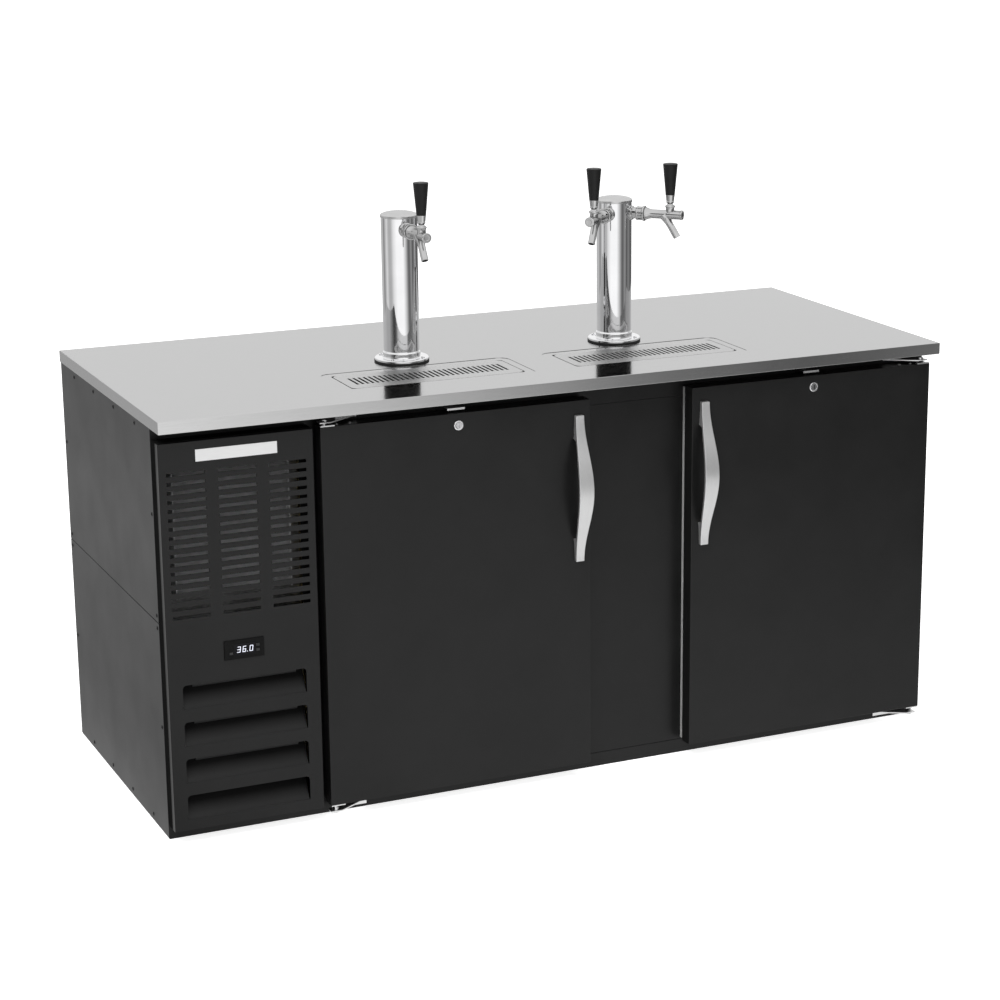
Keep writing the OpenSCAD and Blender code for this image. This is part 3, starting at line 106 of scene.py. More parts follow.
# %% Helpers for the studio
def add_node(tree, kind, **sockets):
    """A shader node with some of its sockets set."""
    node = tree.nodes.new(kind)
    for socket, value in sockets.items():
        node.inputs[socket.replace("_", " ")].default_value = value
    return node


def grey(value):
    return (value, value, value, 1)


def seen_by(tree, *kinds):
    """1 for the kinds of ray that are named, and 0 for the rest."""
    path = tree.nodes.new("ShaderNodeLightPath")
    total = path.outputs[kinds[0]]
    for kind in kinds[1:]:
        both = tree.nodes.new("ShaderNodeMath")
        both.operation = "MAXIMUM"
        tree.links.new(total, both.inputs[0])
        tree.links.new(path.outputs[kind], both.inputs[1])
        total = both.outputs[0]
    return total


def mixed(tree, amount, first, second):
    """A shader that turns from the first to the second as amount goes from 0 to 1."""
    mix = tree.nodes.new("ShaderNodeMixShader")
    tree.links.new(amount, mix.inputs[0])
    tree.links.new(first.outputs[0], mix.inputs[1])
    tree.links.new(second.outputs[0], mix.inputs[2])
    return mix


def along(tree, axis):
    """A point's place along one axis, in metres."""
    place = tree.nodes.new("ShaderNodeTexCoord")
    split = tree.nodes.new("ShaderNodeSeparateXYZ")
    tree.links.new(place.outputs["Object"], split.inputs[0])
    return split.outputs[axis]


def tone_ramp(tree, stops, place):
    """Looks up a tone: stops are pairs of a place and its tone, and place is the socket to look up."""
    first, last = stops[0][0], stops[-1][0]
    span = add_node(tree, "ShaderNodeMapRange", From_Min=first, From_Max=last)
    ramp = tree.nodes.new("ShaderNodeValToRGB")
    marks = ramp.color_ramp.elements
    marks.remove(marks[1])
    for number, (spot, tone) in enumerate(stops):
        mark = marks[0] if number == 0 else marks.new((spot - first) / (last - first))
        mark.color = grey(tone)
    tree.links.new(place, span.inputs["Value"])
    tree.links.new(span.outputs["Result"], ramp.inputs[0])
    return ramp.outputs["Color"]


def bare_object(name, bm):
    """An object whose material has no shader yet; gives back its nodes too."""
    mesh = bpy.data.meshes.new(name)
    bm.to_mesh(mesh)
    bm.free()
    bare = bpy.data.objects.new(name, mesh)
    bpy.context.scene.collection.objects.link(bare)
    finish = bpy.data.materials.new(name)
    finish.use_nodes = True
    tree = finish.node_tree
    tree.nodes.remove(tree.nodes["Principled BSDF"])
    mesh.materials.append(finish)
    return bare, tree


# %% World
SKY_FILL = 0.55

world = bpy.data.worlds.new("studio_world")
bpy.context.scene.world = world
world.use_nodes = True
tree = world.node_tree
fill_light = tree.nodes["Background"]
fill_light.inputs["Color"].default_value = grey(1)
fill_light.inputs["Strength"].default_value = SKY_FILL
white_sweep = add_node(tree, "ShaderNodeBackground", Color=grey(1), Strength=1.0)
seen = seen_by(tree, "Is Camera Ray", "Is Glossy Ray", "Is Transmission Ray")
choice = mixed(tree, seen, fill_light, white_sweep)
tree.links.new(choice.outputs[0], tree.nodes["World Output"].inputs["Surface"])
print("world:", len(tree.nodes), "nodes")

# %% Floor
FLOOR_HALF = 40
PAPER_TONE, PAPER_GLOW = 0.9, 0.82
MIRROR_GAIN = 1.1
# Places along X, in metres, and how bright the floor looks there in a reflection
FLOOR_TONES = [(-3.3, 0.60), (-2.2, 0.62), (-1.6, 0.67), (-1.05, 0.40), (-0.6, 1.0), (0.5, 1.0),
               (0.8, 0.90), (1.3, 0.76), (2.2, 0.25), (3.3, 0.1)]

bm = bmesh.new()
bmesh.ops.create_grid(bm, x_segments=1, y_segments=1, size=FLOOR_HALF)
floor, tree = bare_object("studio_floor", bm)
paper = add_node(tree, "ShaderNodeBsdfDiffuse", Color=grey(PAPER_TONE))
glow = add_node(tree, "ShaderNodeEmission", Color=grey(1), Strength=PAPER_GLOW)
lit_paper = tree.nodes.new("ShaderNodeAddShader")
tree.links.new(paper.outputs[0], lit_paper.inputs[0])
tree.links.new(glow.outputs[0], lit_paper.inputs[1])
mirrored = add_node(tree, "ShaderNodeEmission", Strength=MIRROR_GAIN)
tree.links.new(tone_ramp(tree, FLOOR_TONES, along(tree, "X")), mirrored.inputs["Color"])
choice = mixed(tree, seen_by(tree, "Is Camera Ray"), paper, lit_paper)
choice = mixed(tree, seen_by(tree, "Is Glossy Ray", "Is Transmission Ray"), choice, mirrored)
tree.links.new(choice.outputs[0], tree.nodes["Material Output"].inputs["Surface"])
print("floor:", 2 * FLOOR_HALF, "m wide")

# %% [markdown]
# ## What the steel mirrors
#
# What polished steel shows is mostly what stands around it, so the studio also needs something dark.
# A low ring of grey and black flags stands round the machine, and a curtain hangs farther out. Cards
# could be placed one by one, but a ring with tones by the turn from the camera is easier to adjust.
# Round the foot of each tower goes a black sleeve that is clear from inside, so the worktop mirrors a
# dark tower while the tower's own chrome stays bright. Ray visibility keeps all of them to
# reflections, so they don't dim the light on the cabinet.

# %% Flags and curtain
FINE_STEPS = 96
FLAG_REACH, FLAG_HEAD = 3.3, 0.8
# Turns to the right of the camera, in degrees, and how bright the sheet is there
FLAG_TONES = [(-180, 0.50), (-122, 0.50), (-106, 0.22), (-80, 0.70), (-64, 0.42), (-50, 0.45),
              (-36, 0.76), (-16, 1.0), (22, 1.0), (39, 0.57), (52, 0.20), (61, 0.11), (78, 0.28),
              (91, 0.08), (106, 0.22), (124, 0.11), (180, 0.11)]
CURTAIN_REACH, CURTAIN_FOOT, CURTAIN_HEAD = 9.0, 1.0, 4.8
CURTAIN_TONES = [(-180, 0.9), (-152, 0.9), (-140, 0.78), (-110, 0.72), (-90, 0.60), (-72, 0.60),
                 (-56, 0.30), (-41, 0.06), (-28, 0.15), (-14, 0.8), (0, 1.0), (36, 1.0), (47, 0.20),
                 (72, 0.20), (90, 0.45), (110, 0.50), (140, 0.65), (152, 0.9), (180, 0.9)]
BLACK_CLOTH = 0.002
ORIGIN = Vector((0, 0, 0))


def standing_sheet(name, centre, reach, foot, head):
    """A sheet that stands in a ring and shows in reflections only; gives back its nodes and its light."""
    bm = bmesh.new()
    rail = [bm.verts.new((centre.x + reach, centre.y, z)) for z in (foot, head)]
    hem = bm.edges.new(rail)
    bmesh.ops.spin(bm, geom=rail + [hem], cent=(centre.x, centre.y, 0), axis=(0, 0, 1),
                   angle=2 * pi, steps=FINE_STEPS, use_merge=True)
    bmesh.ops.remove_doubles(bm, verts=bm.verts, dist=0.0001)
    bmesh.ops.recalc_face_normals(bm, faces=bm.faces)
    sheet, tree = bare_object(name, bm)
    sheet.visible_camera = False
    sheet.visible_diffuse = False
    sheet.visible_shadow = False
    sheet.visible_transmission = False
    light = add_node(tree, "ShaderNodeEmission", Color=grey(BLACK_CLOTH), Strength=MIRROR_GAIN)
    tree.links.new(light.outputs[0], tree.nodes["Material Output"].inputs["Surface"])
    print(name, "panels:", len(sheet.data.polygons))
    return tree, light


def shade_around(tree, light, tones):
    """Gives a ring its tones by the turn from the camera."""
    place = tree.nodes.new("ShaderNodeTexCoord")
    facing = add_node(tree, "ShaderNodeMapping", Rotation=(0, 0, pi / 2 + LEFTWARD))
    round_about = tree.nodes.new("ShaderNodeTexGradient")
    round_about.gradient_type = "RADIAL"
    turns = add_node(tree, "ShaderNodeMapRange", To_Min=-180, To_Max=180)
    tree.links.new(place.outputs["Object"], facing.inputs["Vector"])
    tree.links.new(facing.outputs["Vector"], round_about.inputs["Vector"])
    tree.links.new(round_about.outputs["Fac"], turns.inputs["Value"])
    tree.links.new(tone_ramp(tree, tones, turns.outputs["Result"]), light.inputs["Color"])


curtain = standing_sheet("studio_curtain", ORIGIN, CURTAIN_REACH, CURTAIN_FOOT, CURTAIN_HEAD)
shade_around(*curtain, CURTAIN_TONES)
flags = standing_sheet("studio_flags", ORIGIN, FLAG_REACH, 0, FLAG_HEAD)
shade_around(*flags, FLAG_TONES)

# %% Sleeves for the worktop's mirror image
SLEEVE_R, SLEEVE_FOOT, SLEEVE_HEAD = 0.0386, 0.886, 1.0

for tower in ("single_tower", "double_tower"):
    low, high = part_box(tower)
    axis = (low + high) / 2
    tree, light = standing_sheet(tower + "_sleeve", axis, SLEEVE_R, SLEEVE_FOOT, SLEEVE_HEAD)
    side = tree.nodes.new("ShaderNodeNewGeometry")
    clear = tree.nodes.new("ShaderNodeBsdfTransparent")
    one_way = mixed(tree, side.outputs["Backfacing"], light, clear)
    tree.links.new(one_way.outputs[0], tree.nodes["Material Output"].inputs["Surface"])

# %% [markdown]
# ## Lamps
#
# A studio lights a cabinet with a few large softboxes, because a wide lamp gives a soft shadow. In
# Blender a softbox is an area lamp. A key lamp stands at the front left, a weaker one fills from the
# right, and a third lifts the back. The sheets above already give the steel what it mirrors, so the
# lamps themselves are kept out of reflections.


# %% Set the lamps
def softbox(name, watts, size, spot, aim):
    """A square area lamp at spot that points at aim and doesn't show in metal."""
    lamp = bpy.data.lights.new(name, "AREA")
    lamp.energy = watts
    lamp.size = size
    holder = bpy.data.objects.new(name, lamp)
    holder.location = spot
    holder.rotation_euler = (Vector(aim) - Vector(spot)).to_track_quat("-Z", "Y").to_euler()
    holder.visible_glossy = False
    bpy.context.scene.collection.objects.link(holder)
    return holder


lamps = [softbox("key_lamp", 200, 3.0, (-3.2, -3.0, 6.2), (0, 0, 0.5)),
         softbox("fill_lamp", 100, 3.0, (3.6, -2.4, 6.2), (0, 0, 0.5)),
         softbox("back_lamp", 40, 2.5, (0.5, 4.2, 4.2), (0, 0, 0.8))]
print("lamps:", len(lamps))

# %% [markdown]
# ## Finishes
#
# Nearly everything here is painted, brushed or plated metal, with a little plastic and rubber. One
# flat colour looks like a toy, so each finish varies its colour and gloss with noise on the object's
# own coordinates, in metres, and presses a fine grain into the surface with a Bump node. Photographs
# wrapped on the surface could do the same, but noise has no seams and no edge of the picture. Brushed
# steel uses the same noise, stretched hard along one axis.


# %% Helpers for finishes
# Noise seldom leaves this range
NOISE_LOW, NOISE_HIGH = 0.3, 0.7
FINISH = {}


def start_finish(name, metallic, specular):
    """A new material with its metal and its shine set; gives back its nodes and its shader too."""
    finish = bpy.data.materials.new(name)
    finish.use_nodes = True
    shader = finish.node_tree.nodes["Principled BSDF"]
    shader.inputs["Metallic"].default_value = metallic
    shader.inputs["Specular IOR Level"].default_value = specular
    return finish, finish.node_tree, shader


def noise(tree, scale, stretch=(1, 1, 1), detail=3.0):
    """Noise on the object's coordinates, scale per metre; a small stretch draws it out on that axis."""
    place = tree.nodes.new("ShaderNodeTexCoord")
    spread = add_node(tree, "ShaderNodeMapping", Scale=stretch)
    pattern = add_node(tree, "ShaderNodeTexNoise", Scale=scale, Detail=detail)
    tree.links.new(place.outputs["Object"], spread.inputs["Vector"])
    tree.links.new(spread.outputs["Vector"], pattern.inputs["Vector"])
    return pattern.outputs["Fac"]


def tint(tree, amount, dark, light, socket):
    """Runs a socket's colour from dark to light."""
    ramp = tree.nodes.new("ShaderNodeValToRGB")
    ramp.color_ramp.elements[0].position = NOISE_LOW
    ramp.color_ramp.elements[1].position = NOISE_HIGH
    ramp.color_ramp.elements[0].color = (*dark, 1)
    ramp.color_ramp.elements[1].color = (*light, 1)
    tree.links.new(amount, ramp.inputs[0])
    tree.links.new(ramp.outputs["Color"], socket)


def vary(tree, amount, low, high, socket):
    """Runs a socket's number from low to high."""
    span = add_node(tree, "ShaderNodeMapRange", From_Min=NOISE_LOW, From_Max=NOISE_HIGH,
                    To_Min=low, To_Max=high)
    tree.links.new(amount, span.inputs["Value"])
    tree.links.new(span.outputs["Result"], socket)


def press(tree, height, depth, strength, shader):
    """Presses a pattern into the surface, depth in metres."""
    bump = add_node(tree, "ShaderNodeBump", Strength=strength, Distance=depth)
    tree.links.new(height, bump.inputs["Height"])
    tree.links.new(bump.outputs["Normal"], shader.inputs["Normal"])


# %% [markdown]
# ## Paint, plastic and rubber
#
# The cabinet has a black powder coat, and the small parts are moulded. Both are dielectric: dark,
# with a shine on top. One function with two scales of noise serves them all: a broad cloud for the
# colour and the gloss, and a fine grain for the bump. In the louvres, the shine fades with depth,
# which paints in the shade of the recesses.


# %% Paint, plastic and rubber
def grained_finish(slot, dark, light, gloss, cloud, grain, depth, specular=0.5, strength=0.25):
    """Cloudy colour and gloss with a fine grain: gloss is the lowest and highest roughness."""
    finish, tree, shader = start_finish(slot, 0.0, specular)
    broad = noise(tree, cloud)
    tint(tree, broad, dark, light, shader.inputs["Base Color"])
    vary(tree, broad, gloss[0], gloss[1], shader.inputs["Roughness"])
    press(tree, noise(tree, grain, detail=2.0), depth, strength, shader)
    FINISH[slot] = finish
    return tree, shader


def paint_shade_inward(tree, shader, shallow, deep):
    """Paints shade into a recess: a coat loses its shine between two places along Y, in metres."""
    shine = shader.inputs["Specular IOR Level"]
    fade = add_node(tree, "ShaderNodeMapRange", From_Min=shallow, From_Max=deep,
                    To_Min=shine.default_value, To_Max=0.0)
    tree.links.new(along(tree, "Y"), fade.inputs["Value"])
    tree.links.new(fade.outputs["Result"], shine)


PANEL_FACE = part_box("grille_panel")[0].y
# Depths behind the panel's face where the louvres' painted shade starts and is full, in metres
RECESS_SHADE_FROM, RECESS_SHADE_TO = 0.005, 0.018
# Dark and light colour, range of roughness, clouds and grain per metre, and depth of the grain in metres
PAINT = ((0.0095,) * 3, (0.0125,) * 3, (0.29, 0.35), 9, 1400, 0.00004, 0.24, 0.12)
grained_finish("black_paint", *PAINT)
louvre_paint_with_painted_shade = grained_finish("louvre_paint_with_painted_shade", *PAINT)
paint_shade_inward(*louvre_paint_with_painted_shade, PANEL_FACE + RECESS_SHADE_FROM, PANEL_FACE + RECESS_SHADE_TO)
grained_finish("case_plastic", (0.005,) * 3, (0.008,) * 3, (0.45, 0.55), 60, 2600, 0.00003,
               specular=0.1)
grained_finish("black_plastic", (0.009,) * 3, (0.013,) * 3, (0.40, 0.50), 60, 2600, 0.00003,
               specular=0.25)
grained_finish("grey_plastic", (0.035,) * 3, (0.045,) * 3, (0.42, 0.52), 80, 2200, 0.00003,
               specular=0.2)
grained_finish("black_rubber", (0.010,) * 3, (0.016,) * 3, (0.62, 0.75), 90, 1800, 0.00005,
               specular=0.3)
grained_finish("grey_rubber", (0.44, 0.44, 0.435), (0.52, 0.52, 0.515), (0.55, 0.68), 50, 1500, 0.00004,
               specular=0.35)
grained_finish("white_liner", (0.66, 0.67, 0.68), (0.72, 0.73, 0.74), (0.34, 0.44), 14, 900, 0.00005)
grained_finish("foam", (0.55, 0.44, 0.22), (0.68, 0.57, 0.33), (0.85, 0.95), 120, 700, 0.0004,
               specular=0.2, strength=0.5)
grained_finish("cast_shell", (0.012,) * 3, (0.022,) * 3, (0.45, 0.62), 40, 800, 0.00012, specular=0.4)
grained_finish("dark_window", (0.004, 0.004, 0.005), (0.007, 0.007, 0.009), (0.08, 0.14), 50, 3000,
               0.00001, specular=0.12)
grained_finish("fins", (0.66, 0.66, 0.67), (0.76, 0.76, 0.77), (0.40, 0.50), 90, 900, 0.00005)
print("finishes:", sorted(FINISH))

# %% [markdown]
# ## Brushed, plated and drawn metal
#
# The worktop and the handles are brushed, the columns and taps are plated, and the pipes are drawn
# copper. A brushed face is full of fine parallel scratches. An anisotropic shader could fake them,
# but here the noise itself is stretched along one axis and drives both colour and bump, so the
# streaks can be seen. Plated metal is the same recipe with an even noise and little roughness. Below
# their ledges, the pans' steel sinks to a dark grey, which paints in the shade under the grilles.

# %% Brushed, plated and drawn metal
GLOSS_CLOUD = 6


def brushed_finish(slot, dark, light, gloss, stretch, scale, depth, strength=0.2, rim=1.0, metal=1.0):
    """Metal with streaks along the axis of the smallest stretch; rim dims what it mirrors at a glance."""
    finish, tree, shader = start_finish(slot, metal, 0.5)
    shader.inputs["Specular Tint"].default_value = grey(rim)
    streaks = noise(tree, scale, stretch, detail=4.0)
    tint(tree, streaks, dark, light, shader.inputs["Base Color"])
    vary(tree, noise(tree, GLOSS_CLOUD, detail=2.0), gloss[0], gloss[1], shader.inputs["Roughness"])
    press(tree, streaks, depth, strength, shader)
    FINISH[slot] = finish
    return tree, shader


def paint_shade_below(tree, shader, high, low, dark):
    """Paints shade into a metal: it sinks to a dark grey between two heights, in metres."""
    depth = add_node(tree, "ShaderNodeMapRange", From_Min=high, From_Max=low)
    blend = add_node(tree, "ShaderNodeMixRGB", Color2=grey(dark))
    unshaded = shader.inputs["Base Color"].links[0].from_socket
    tree.links.new(along(tree, "Z"), depth.inputs["Value"])
    tree.links.new(depth.outputs["Result"], blend.inputs["Fac"])
    tree.links.new(unshaded, blend.inputs["Color1"])
    tree.links.new(blend.outputs["Color"], shader.inputs["Base Color"])


ALONG_X = (0.02, 1, 1)
ALONG_Z = (1, 1, 0.02)
EVEN = (1, 1, 1)
WORKTOP_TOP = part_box("worktop")[1].z
# Depths below the worktop's top where the pans' painted shade starts and is full, and its tone
SHADE_TOP, SHADE_FULL, SHADE_TONE = 0.007, 0.012, 0.03
# Dark and light colour, range of roughness, stretch and scale of the streaks, and their depth in metres
WORKTOP_STEEL = ((0.59,) * 3, (0.64,) * 3, (0.12, 0.15), ALONG_X, 1600, 0.00001, 0.1, 0.8)
brushed_finish("worktop_steel", *WORKTOP_STEEL)
pan_steel_painted_shade = brushed_finish("pan_steel_painted_shade", *WORKTOP_STEEL)
paint_shade_below(*pan_steel_painted_shade, WORKTOP_TOP - SHADE_TOP, WORKTOP_TOP - SHADE_FULL, SHADE_TONE)
brushed_finish("satin_steel", (0.63,) * 3, (0.71,) * 3, (0.30, 0.36), ALONG_Z, 1800, 0.00002,
               metal=0.75)
brushed_finish("satin_steel_flat", (0.70,) * 3, (0.78,) * 3, (0.26, 0.34), ALONG_X, 1800, 0.00002)
brushed_finish("grille_steel", (0.60,) * 3, (0.64,) * 3, (0.36, 0.44), ALONG_X, 1600, 0.00001,
               strength=0.1, rim=0.85)
brushed_finish("bright_plate", (0.82,) * 3, (0.88,) * 3, (0.30, 0.38), ALONG_X, 1800, 0.00002)
brushed_finish("cap_steel", (0.60,) * 3, (0.64,) * 3, (0.28, 0.34), EVEN, 60, 0.000005,
               strength=0.05, rim=0.85)
brushed_finish("chrome", (0.82, 0.82, 0.83), (0.87, 0.87, 0.88), (0.02, 0.05), EVEN, 25, 0.000002,
               strength=0.05)
brushed_finish("tap_steel", (0.53,) * 3, (0.59,) * 3, (0.05, 0.08), EVEN, 60, 0.000005,
               strength=0.05, rim=0.5)
brushed_finish("plain_steel", (0.34,) * 3, (0.42,) * 3, (0.40, 0.52), EVEN, 140, 0.00005)
brushed_finish("copper", (0.62, 0.29, 0.17), (0.74, 0.40, 0.25), (0.24, 0.38), EVEN, 60, 0.00003)
print("finishes:", len(FINISH))

# %% [markdown]
# ## Dress the solids that stay
#
# Many solids already have the right shape: the compressor, the fans, the liner and other pieces
# inside. They only need their finish, which goes into their material slots. The record says which
# finish each one has.

# %% Finishes on the solids
SLOT = {part["node"]: part["material_slot"] for part in frame["record"]["subparts"]}
for node, solid in frame["nodes"].items():
    for holder in solid.material_slots:
        holder.material = FINISH[SLOT[node]]
print("dressed:", len(frame["nodes"]), "solids")

# %% [markdown]
# ## How a piece is made
#
# Every piece below goes through one function: it turns a bmesh in millimetres into an object in
# metres, gives it its finish, makes it ride on a body of the machine, and hides the solids it stands
# for. Smooth shading with sharp edges kept above an angle suits both turned and bent pieces. Weighted
# normals let the large faces set the shading, so a tall column or a flat panel doesn't lean toward
# the small round at its rim.

# %% Helpers for pieces
MM = 0.001
SHARP = radians(38)
RIM_ANGLE = radians(28)


def make_piece(name, bm, slot, body, stands_for=(), look=None):
    """Finishes a bmesh made in millimetres as a piece that rides on a body."""
    bmesh.ops.scale(bm, vec=(MM, MM, MM), verts=bm.verts)
    mesh = bpy.data.meshes.new(name)
    bm.to_mesh(mesh)
    bm.free()
    mesh.shade_smooth()
    mesh.set_sharp_from_angle(angle=SHARP)
    mesh.materials.append(FINISH[look or slot])
    piece = bpy.data.objects.new(name, mesh)
    bpy.context.scene.collection.objects.link(piece)
    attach(piece, body)
    if stands_for:
        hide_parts(*stands_for)
    piece.modifiers.new("even_shading", "WEIGHTED_NORMAL").keep_sharp = True
    print(name, "faces:", len(mesh.polygons))
    return piece


def round_off(bm, edges, radius, steps=2):
    """Rounds off some edges."""
    bmesh.ops.bevel(bm, geom=list(edges), offset=radius, offset_type="OFFSET", segments=steps,
                    profile=0.5, affect="EDGES", material=-1, clamp_overlap=True)


def block(bm, low, high, radius=0.0, steps=2):
    """A box between two corners, with its edges rounded off."""
    low, high = Vector(low), Vector(high)
    size = Matrix.Diagonal((*(high - low), 1))
    centre = Matrix.Translation((low + high) / 2)
    verts = bmesh.ops.create_cube(bm, size=1, matrix=centre @ size)["verts"]
    if radius:
        round_off(bm, {edge for vert in verts for edge in vert.link_edges}, radius, steps)


def join(bm, other):
    """Moves another bmesh into this one."""
    carrier = bpy.data.meshes.new("carrier")
    other.to_mesh(carrier)
    other.free()
    bm.from_mesh(carrier)
    bpy.data.meshes.remove(carrier)


def spun(bm, profile, place=Matrix(), radius=0.0, closed=False, steps=64):
    """Turns a profile of (radius, height) pairs about Z, rounds off its rims and puts it in place."""
    turned = bmesh.new()
    verts = [turned.verts.new((reach, 0, height)) for reach, height in profile]
    pairs = list(zip(verts, verts[1:]))
    if closed:
        pairs.append((verts[-1], verts[0]))
    edges = [turned.edges.new(pair) for pair in pairs]
    bmesh.ops.spin(turned, geom=verts + edges, cent=(0, 0, 0), axis=(0, 0, 1), angle=2 * pi,
                   steps=steps, use_merge=True)
    bmesh.ops.remove_doubles(turned, verts=turned.verts, dist=0.001)
    bmesh.ops.recalc_face_normals(turned, faces=turned.faces)
    if radius:
        rims = [edge for edge in turned.edges
                if edge.is_manifold and edge.calc_face_angle() > RIM_ANGLE]
        round_off(turned, rims, radius, 3)
    bmesh.ops.transform(turned, matrix=place, verts=turned.verts)
    join(bm, turned)


def turned_piece(name, profile, place, *dress, **turning):
    """A piece that is one spun profile: dress is for make_piece, turning for spun."""
    bm = bmesh.new()
    spun(bm, profile, place, **turning)
    return make_piece(name, bm, *dress)


def middle(node):
    """The middle of a solid, in millimetres."""
    low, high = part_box(node)
    return (low + high) / 2 / MM


print("worktop's middle, in millimetres:", middle("worktop"))

# %% [markdown]
# ## Sheet metal
#
# The cabinet is folded and punched sheet. A folded edge is never sharp: it has a small radius that
# catches a thin line of light, and that line tells the eye that this is metal. Modelling each panel
# again would repeat the CAD. Instead, a copy of the solid's mesh is merged, its flat triangles are
# dissolved into whole faces, and only the long outer edges get a bevel.

# %% Soften the folded edges
FLAT, FOLD = radians(0.5), radians(50)


def softened(node, radius, shortest, look=None, steps=2):
    """A copy of a solid whose long outer edges are rounded off."""
    bm = bmesh.new()
    bm.from_mesh(frame["nodes"][node].data)
    bmesh.ops.scale(bm, vec=(1 / MM, 1 / MM, 1 / MM), verts=bm.verts)
    bmesh.ops.remove_doubles(bm, verts=bm.verts, dist=0.01)
    bmesh.ops.dissolve_limit(bm, angle_limit=FLAT, verts=bm.verts, edges=bm.edges)
    outer = [edge for edge in bm.edges if edge.is_manifold and edge.is_convex
             and edge.calc_face_angle() > FOLD and edge.calc_length() > shortest]
    round_off(bm, outer, radius, steps)
    body = frame["nodes"][node]["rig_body"]
    return make_piece(node + ".soft", bm, SLOT[node], body, [node], look)


# Radius of the fold and shortest edge that gets it, in millimetres
softened("left_side_panels", 1.0, 100)
softened("right_side_panel", 0.7, 100)
# The grille panel's paint carries painted shade in its louvres
softened("grille_panel", 1.2, 280, "louvre_paint_with_painted_shade")
softened("worktop", 0.8, 500, steps=3)
softened("hinge_brackets", 0.6, 8, "satin_steel_flat")
softened("lock_strikes", 0.5, 8, "satin_steel_flat")
softened("evaporator_cover", 3.0, 70, steps=3)
softened("controller_case", 0.8, 30, "case_plastic")
softened("name_plate", 0.35, 10, "bright_plate")
for side in ("left", "right"):
    softened(side + "_door_skin", 1.4, 300)
    softened(side + "_door_gasket", 2.5, 300, steps=3)
    softened(side + "_door_liner", 5.0, 400, steps=3)
    softened("drip_grille_" + side, 0.35, 70, "grille_steel")
for key in ("key_set", "key_up", "key_down"):
    softened(key, 0.4, 1.5)

# %% [markdown]
# ## Worktop lining
#
# The worktop is a shallow steel tray turned upside down over a foam core. Under its front overhang, a
# plain black sheet closes it. Above the machine bay's front, a black rail fills the gap, which paints
# in the shade of that gap. Both are thin blocks, because only one face of each is ever seen.

# %% Close the underside
SHEET = 1.5
LINING_BELOW, LINING_ABOVE = 0.3, 0.6
FRAME_GAP = 0.2
SHADE_RAIL_FROM, SHADE_RAIL_TO, SHADE_RAIL_DROP = 0.5, 3, 8
worktop_low, worktop_high = (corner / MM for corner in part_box("worktop"))
frame_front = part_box("front_frame")[0].y / MM
bm = bmesh.new()
block(bm, (worktop_low.x + SHEET, worktop_low.y + SHEET, worktop_low.z - LINING_BELOW),
      (worktop_high.x - SHEET, frame_front - FRAME_GAP, worktop_low.z + LINING_ABOVE))
panel_low, panel_high = (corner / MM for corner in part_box("grille_panel"))
# A black rail fills the gap above the machine bay's front: painted shade
block(bm, (panel_low.x, panel_high.y + SHADE_RAIL_FROM, panel_high.z - SHADE_RAIL_DROP),
      (panel_high.x, panel_high.y + SHADE_RAIL_TO, worktop_low.z - LINING_BELOW))
make_piece("worktop_lining_and_shade_rail", bm, "black_paint", "cabinet")

# %% [markdown]
# ## Drip trays
#
# A drip tray is pressed from one sheet: a flat rim lies in the worktop's opening, and the pan hangs
# below it. It could be cut from a box with booleans. Here it is drawn as six round-cornered outlines,
# from the rim inward to the ledge that carries the grille and down to the floor, and each outline is
# bridged to the next. A circle in the floor makes the drain hole, the folds are rounded off, and the
# sheet gets its thickness last.

# %% Press the trays
RIM_T = 0.8
LEDGE_Z, FLOOR_Z = -4.8, -19
CORNER_STEPS = 8
DRAIN_R = 8.2
TRAY_FOLD, TRAY_FOLD_R = radians(40), 0.6
# Width, depth, corner and height of each outline
TRAY_OUTLINES = [(419.4, 174.4, 22, RIM_T), (382, 131, 8, RIM_T), (382, 131, 8, LEDGE_Z),
                 (372, 121, 8, LEDGE_Z), (371, 120, 7.5, FLOOR_Z), (350, 100, 7.5, FLOOR_Z)]


def outline(bm, width, depth, corner, height):
    """The edges of a rectangle with round corners."""
    verts = []
    for quarter, (side_x, side_y) in enumerate(((1, 1), (-1, 1), (-1, -1), (1, -1))):
        for step in range(CORNER_STEPS + 1):
            turn = pi / 2 * (quarter + step / CORNER_STEPS)
            x = side_x * (width / 2 - corner) + corner * cos(turn)
            y = side_y * (depth / 2 - corner) + corner * sin(turn)
            verts.append(bm.verts.new((x, y, height)))
    return [bm.edges.new(pair) for pair in zip(verts, verts[1:] + verts[:1])]


def pressed_tray(name, grille):
    """A tray with a drain hole, set in the worktop under its grille."""
    centre = middle(grille)
    bm = bmesh.new()
    loops = [outline(bm, *sizes) for sizes in TRAY_OUTLINES]
    on_floor = Matrix.Translation((0, 0, FLOOR_Z))
    hole = bmesh.ops.create_circle(bm, segments=32, radius=DRAIN_R, matrix=on_floor)["verts"]
    loops.append(list({edge for vert in hole for edge in vert.link_edges}))
    for outer, inner in zip(loops, loops[1:]):
        bmesh.ops.bridge_loops(bm, edges=outer + inner)
    bmesh.ops.recalc_face_normals(bm, faces=bm.faces)
    folds = [edge for edge in bm.edges if edge.is_manifold and edge.calc_face_angle() > TRAY_FOLD]
    round_off(bm, folds, TRAY_FOLD_R, 3)
    bmesh.ops.solidify(bm, geom=bm.faces[:], thickness=RIM_T)
    bmesh.ops.translate(bm, vec=(centre.x, centre.y, worktop_high.z - SHEET), verts=bm.verts)
    # The pan's steel carries painted shade below its ledge
    return make_piece(name, bm, "worktop_steel", "cabinet", ["drip_pans"], "pan_steel_painted_shade")


pressed_tray("tray_pan_left", "drip_grille_left")
pressed_tray("tray_pan_right", "drip_grille_right")

# %% [markdown]
# ## Towers
#
# A draught tower is a chromed tube with a flange at its foot, a black gasket whose lip wraps it, and
# a domed cap. Anything that came off a lathe is made here the same way: a profile of radius and
# height, spun once round. The solids are turned too, but their facets would show in chrome, which
# mirrors every flat.

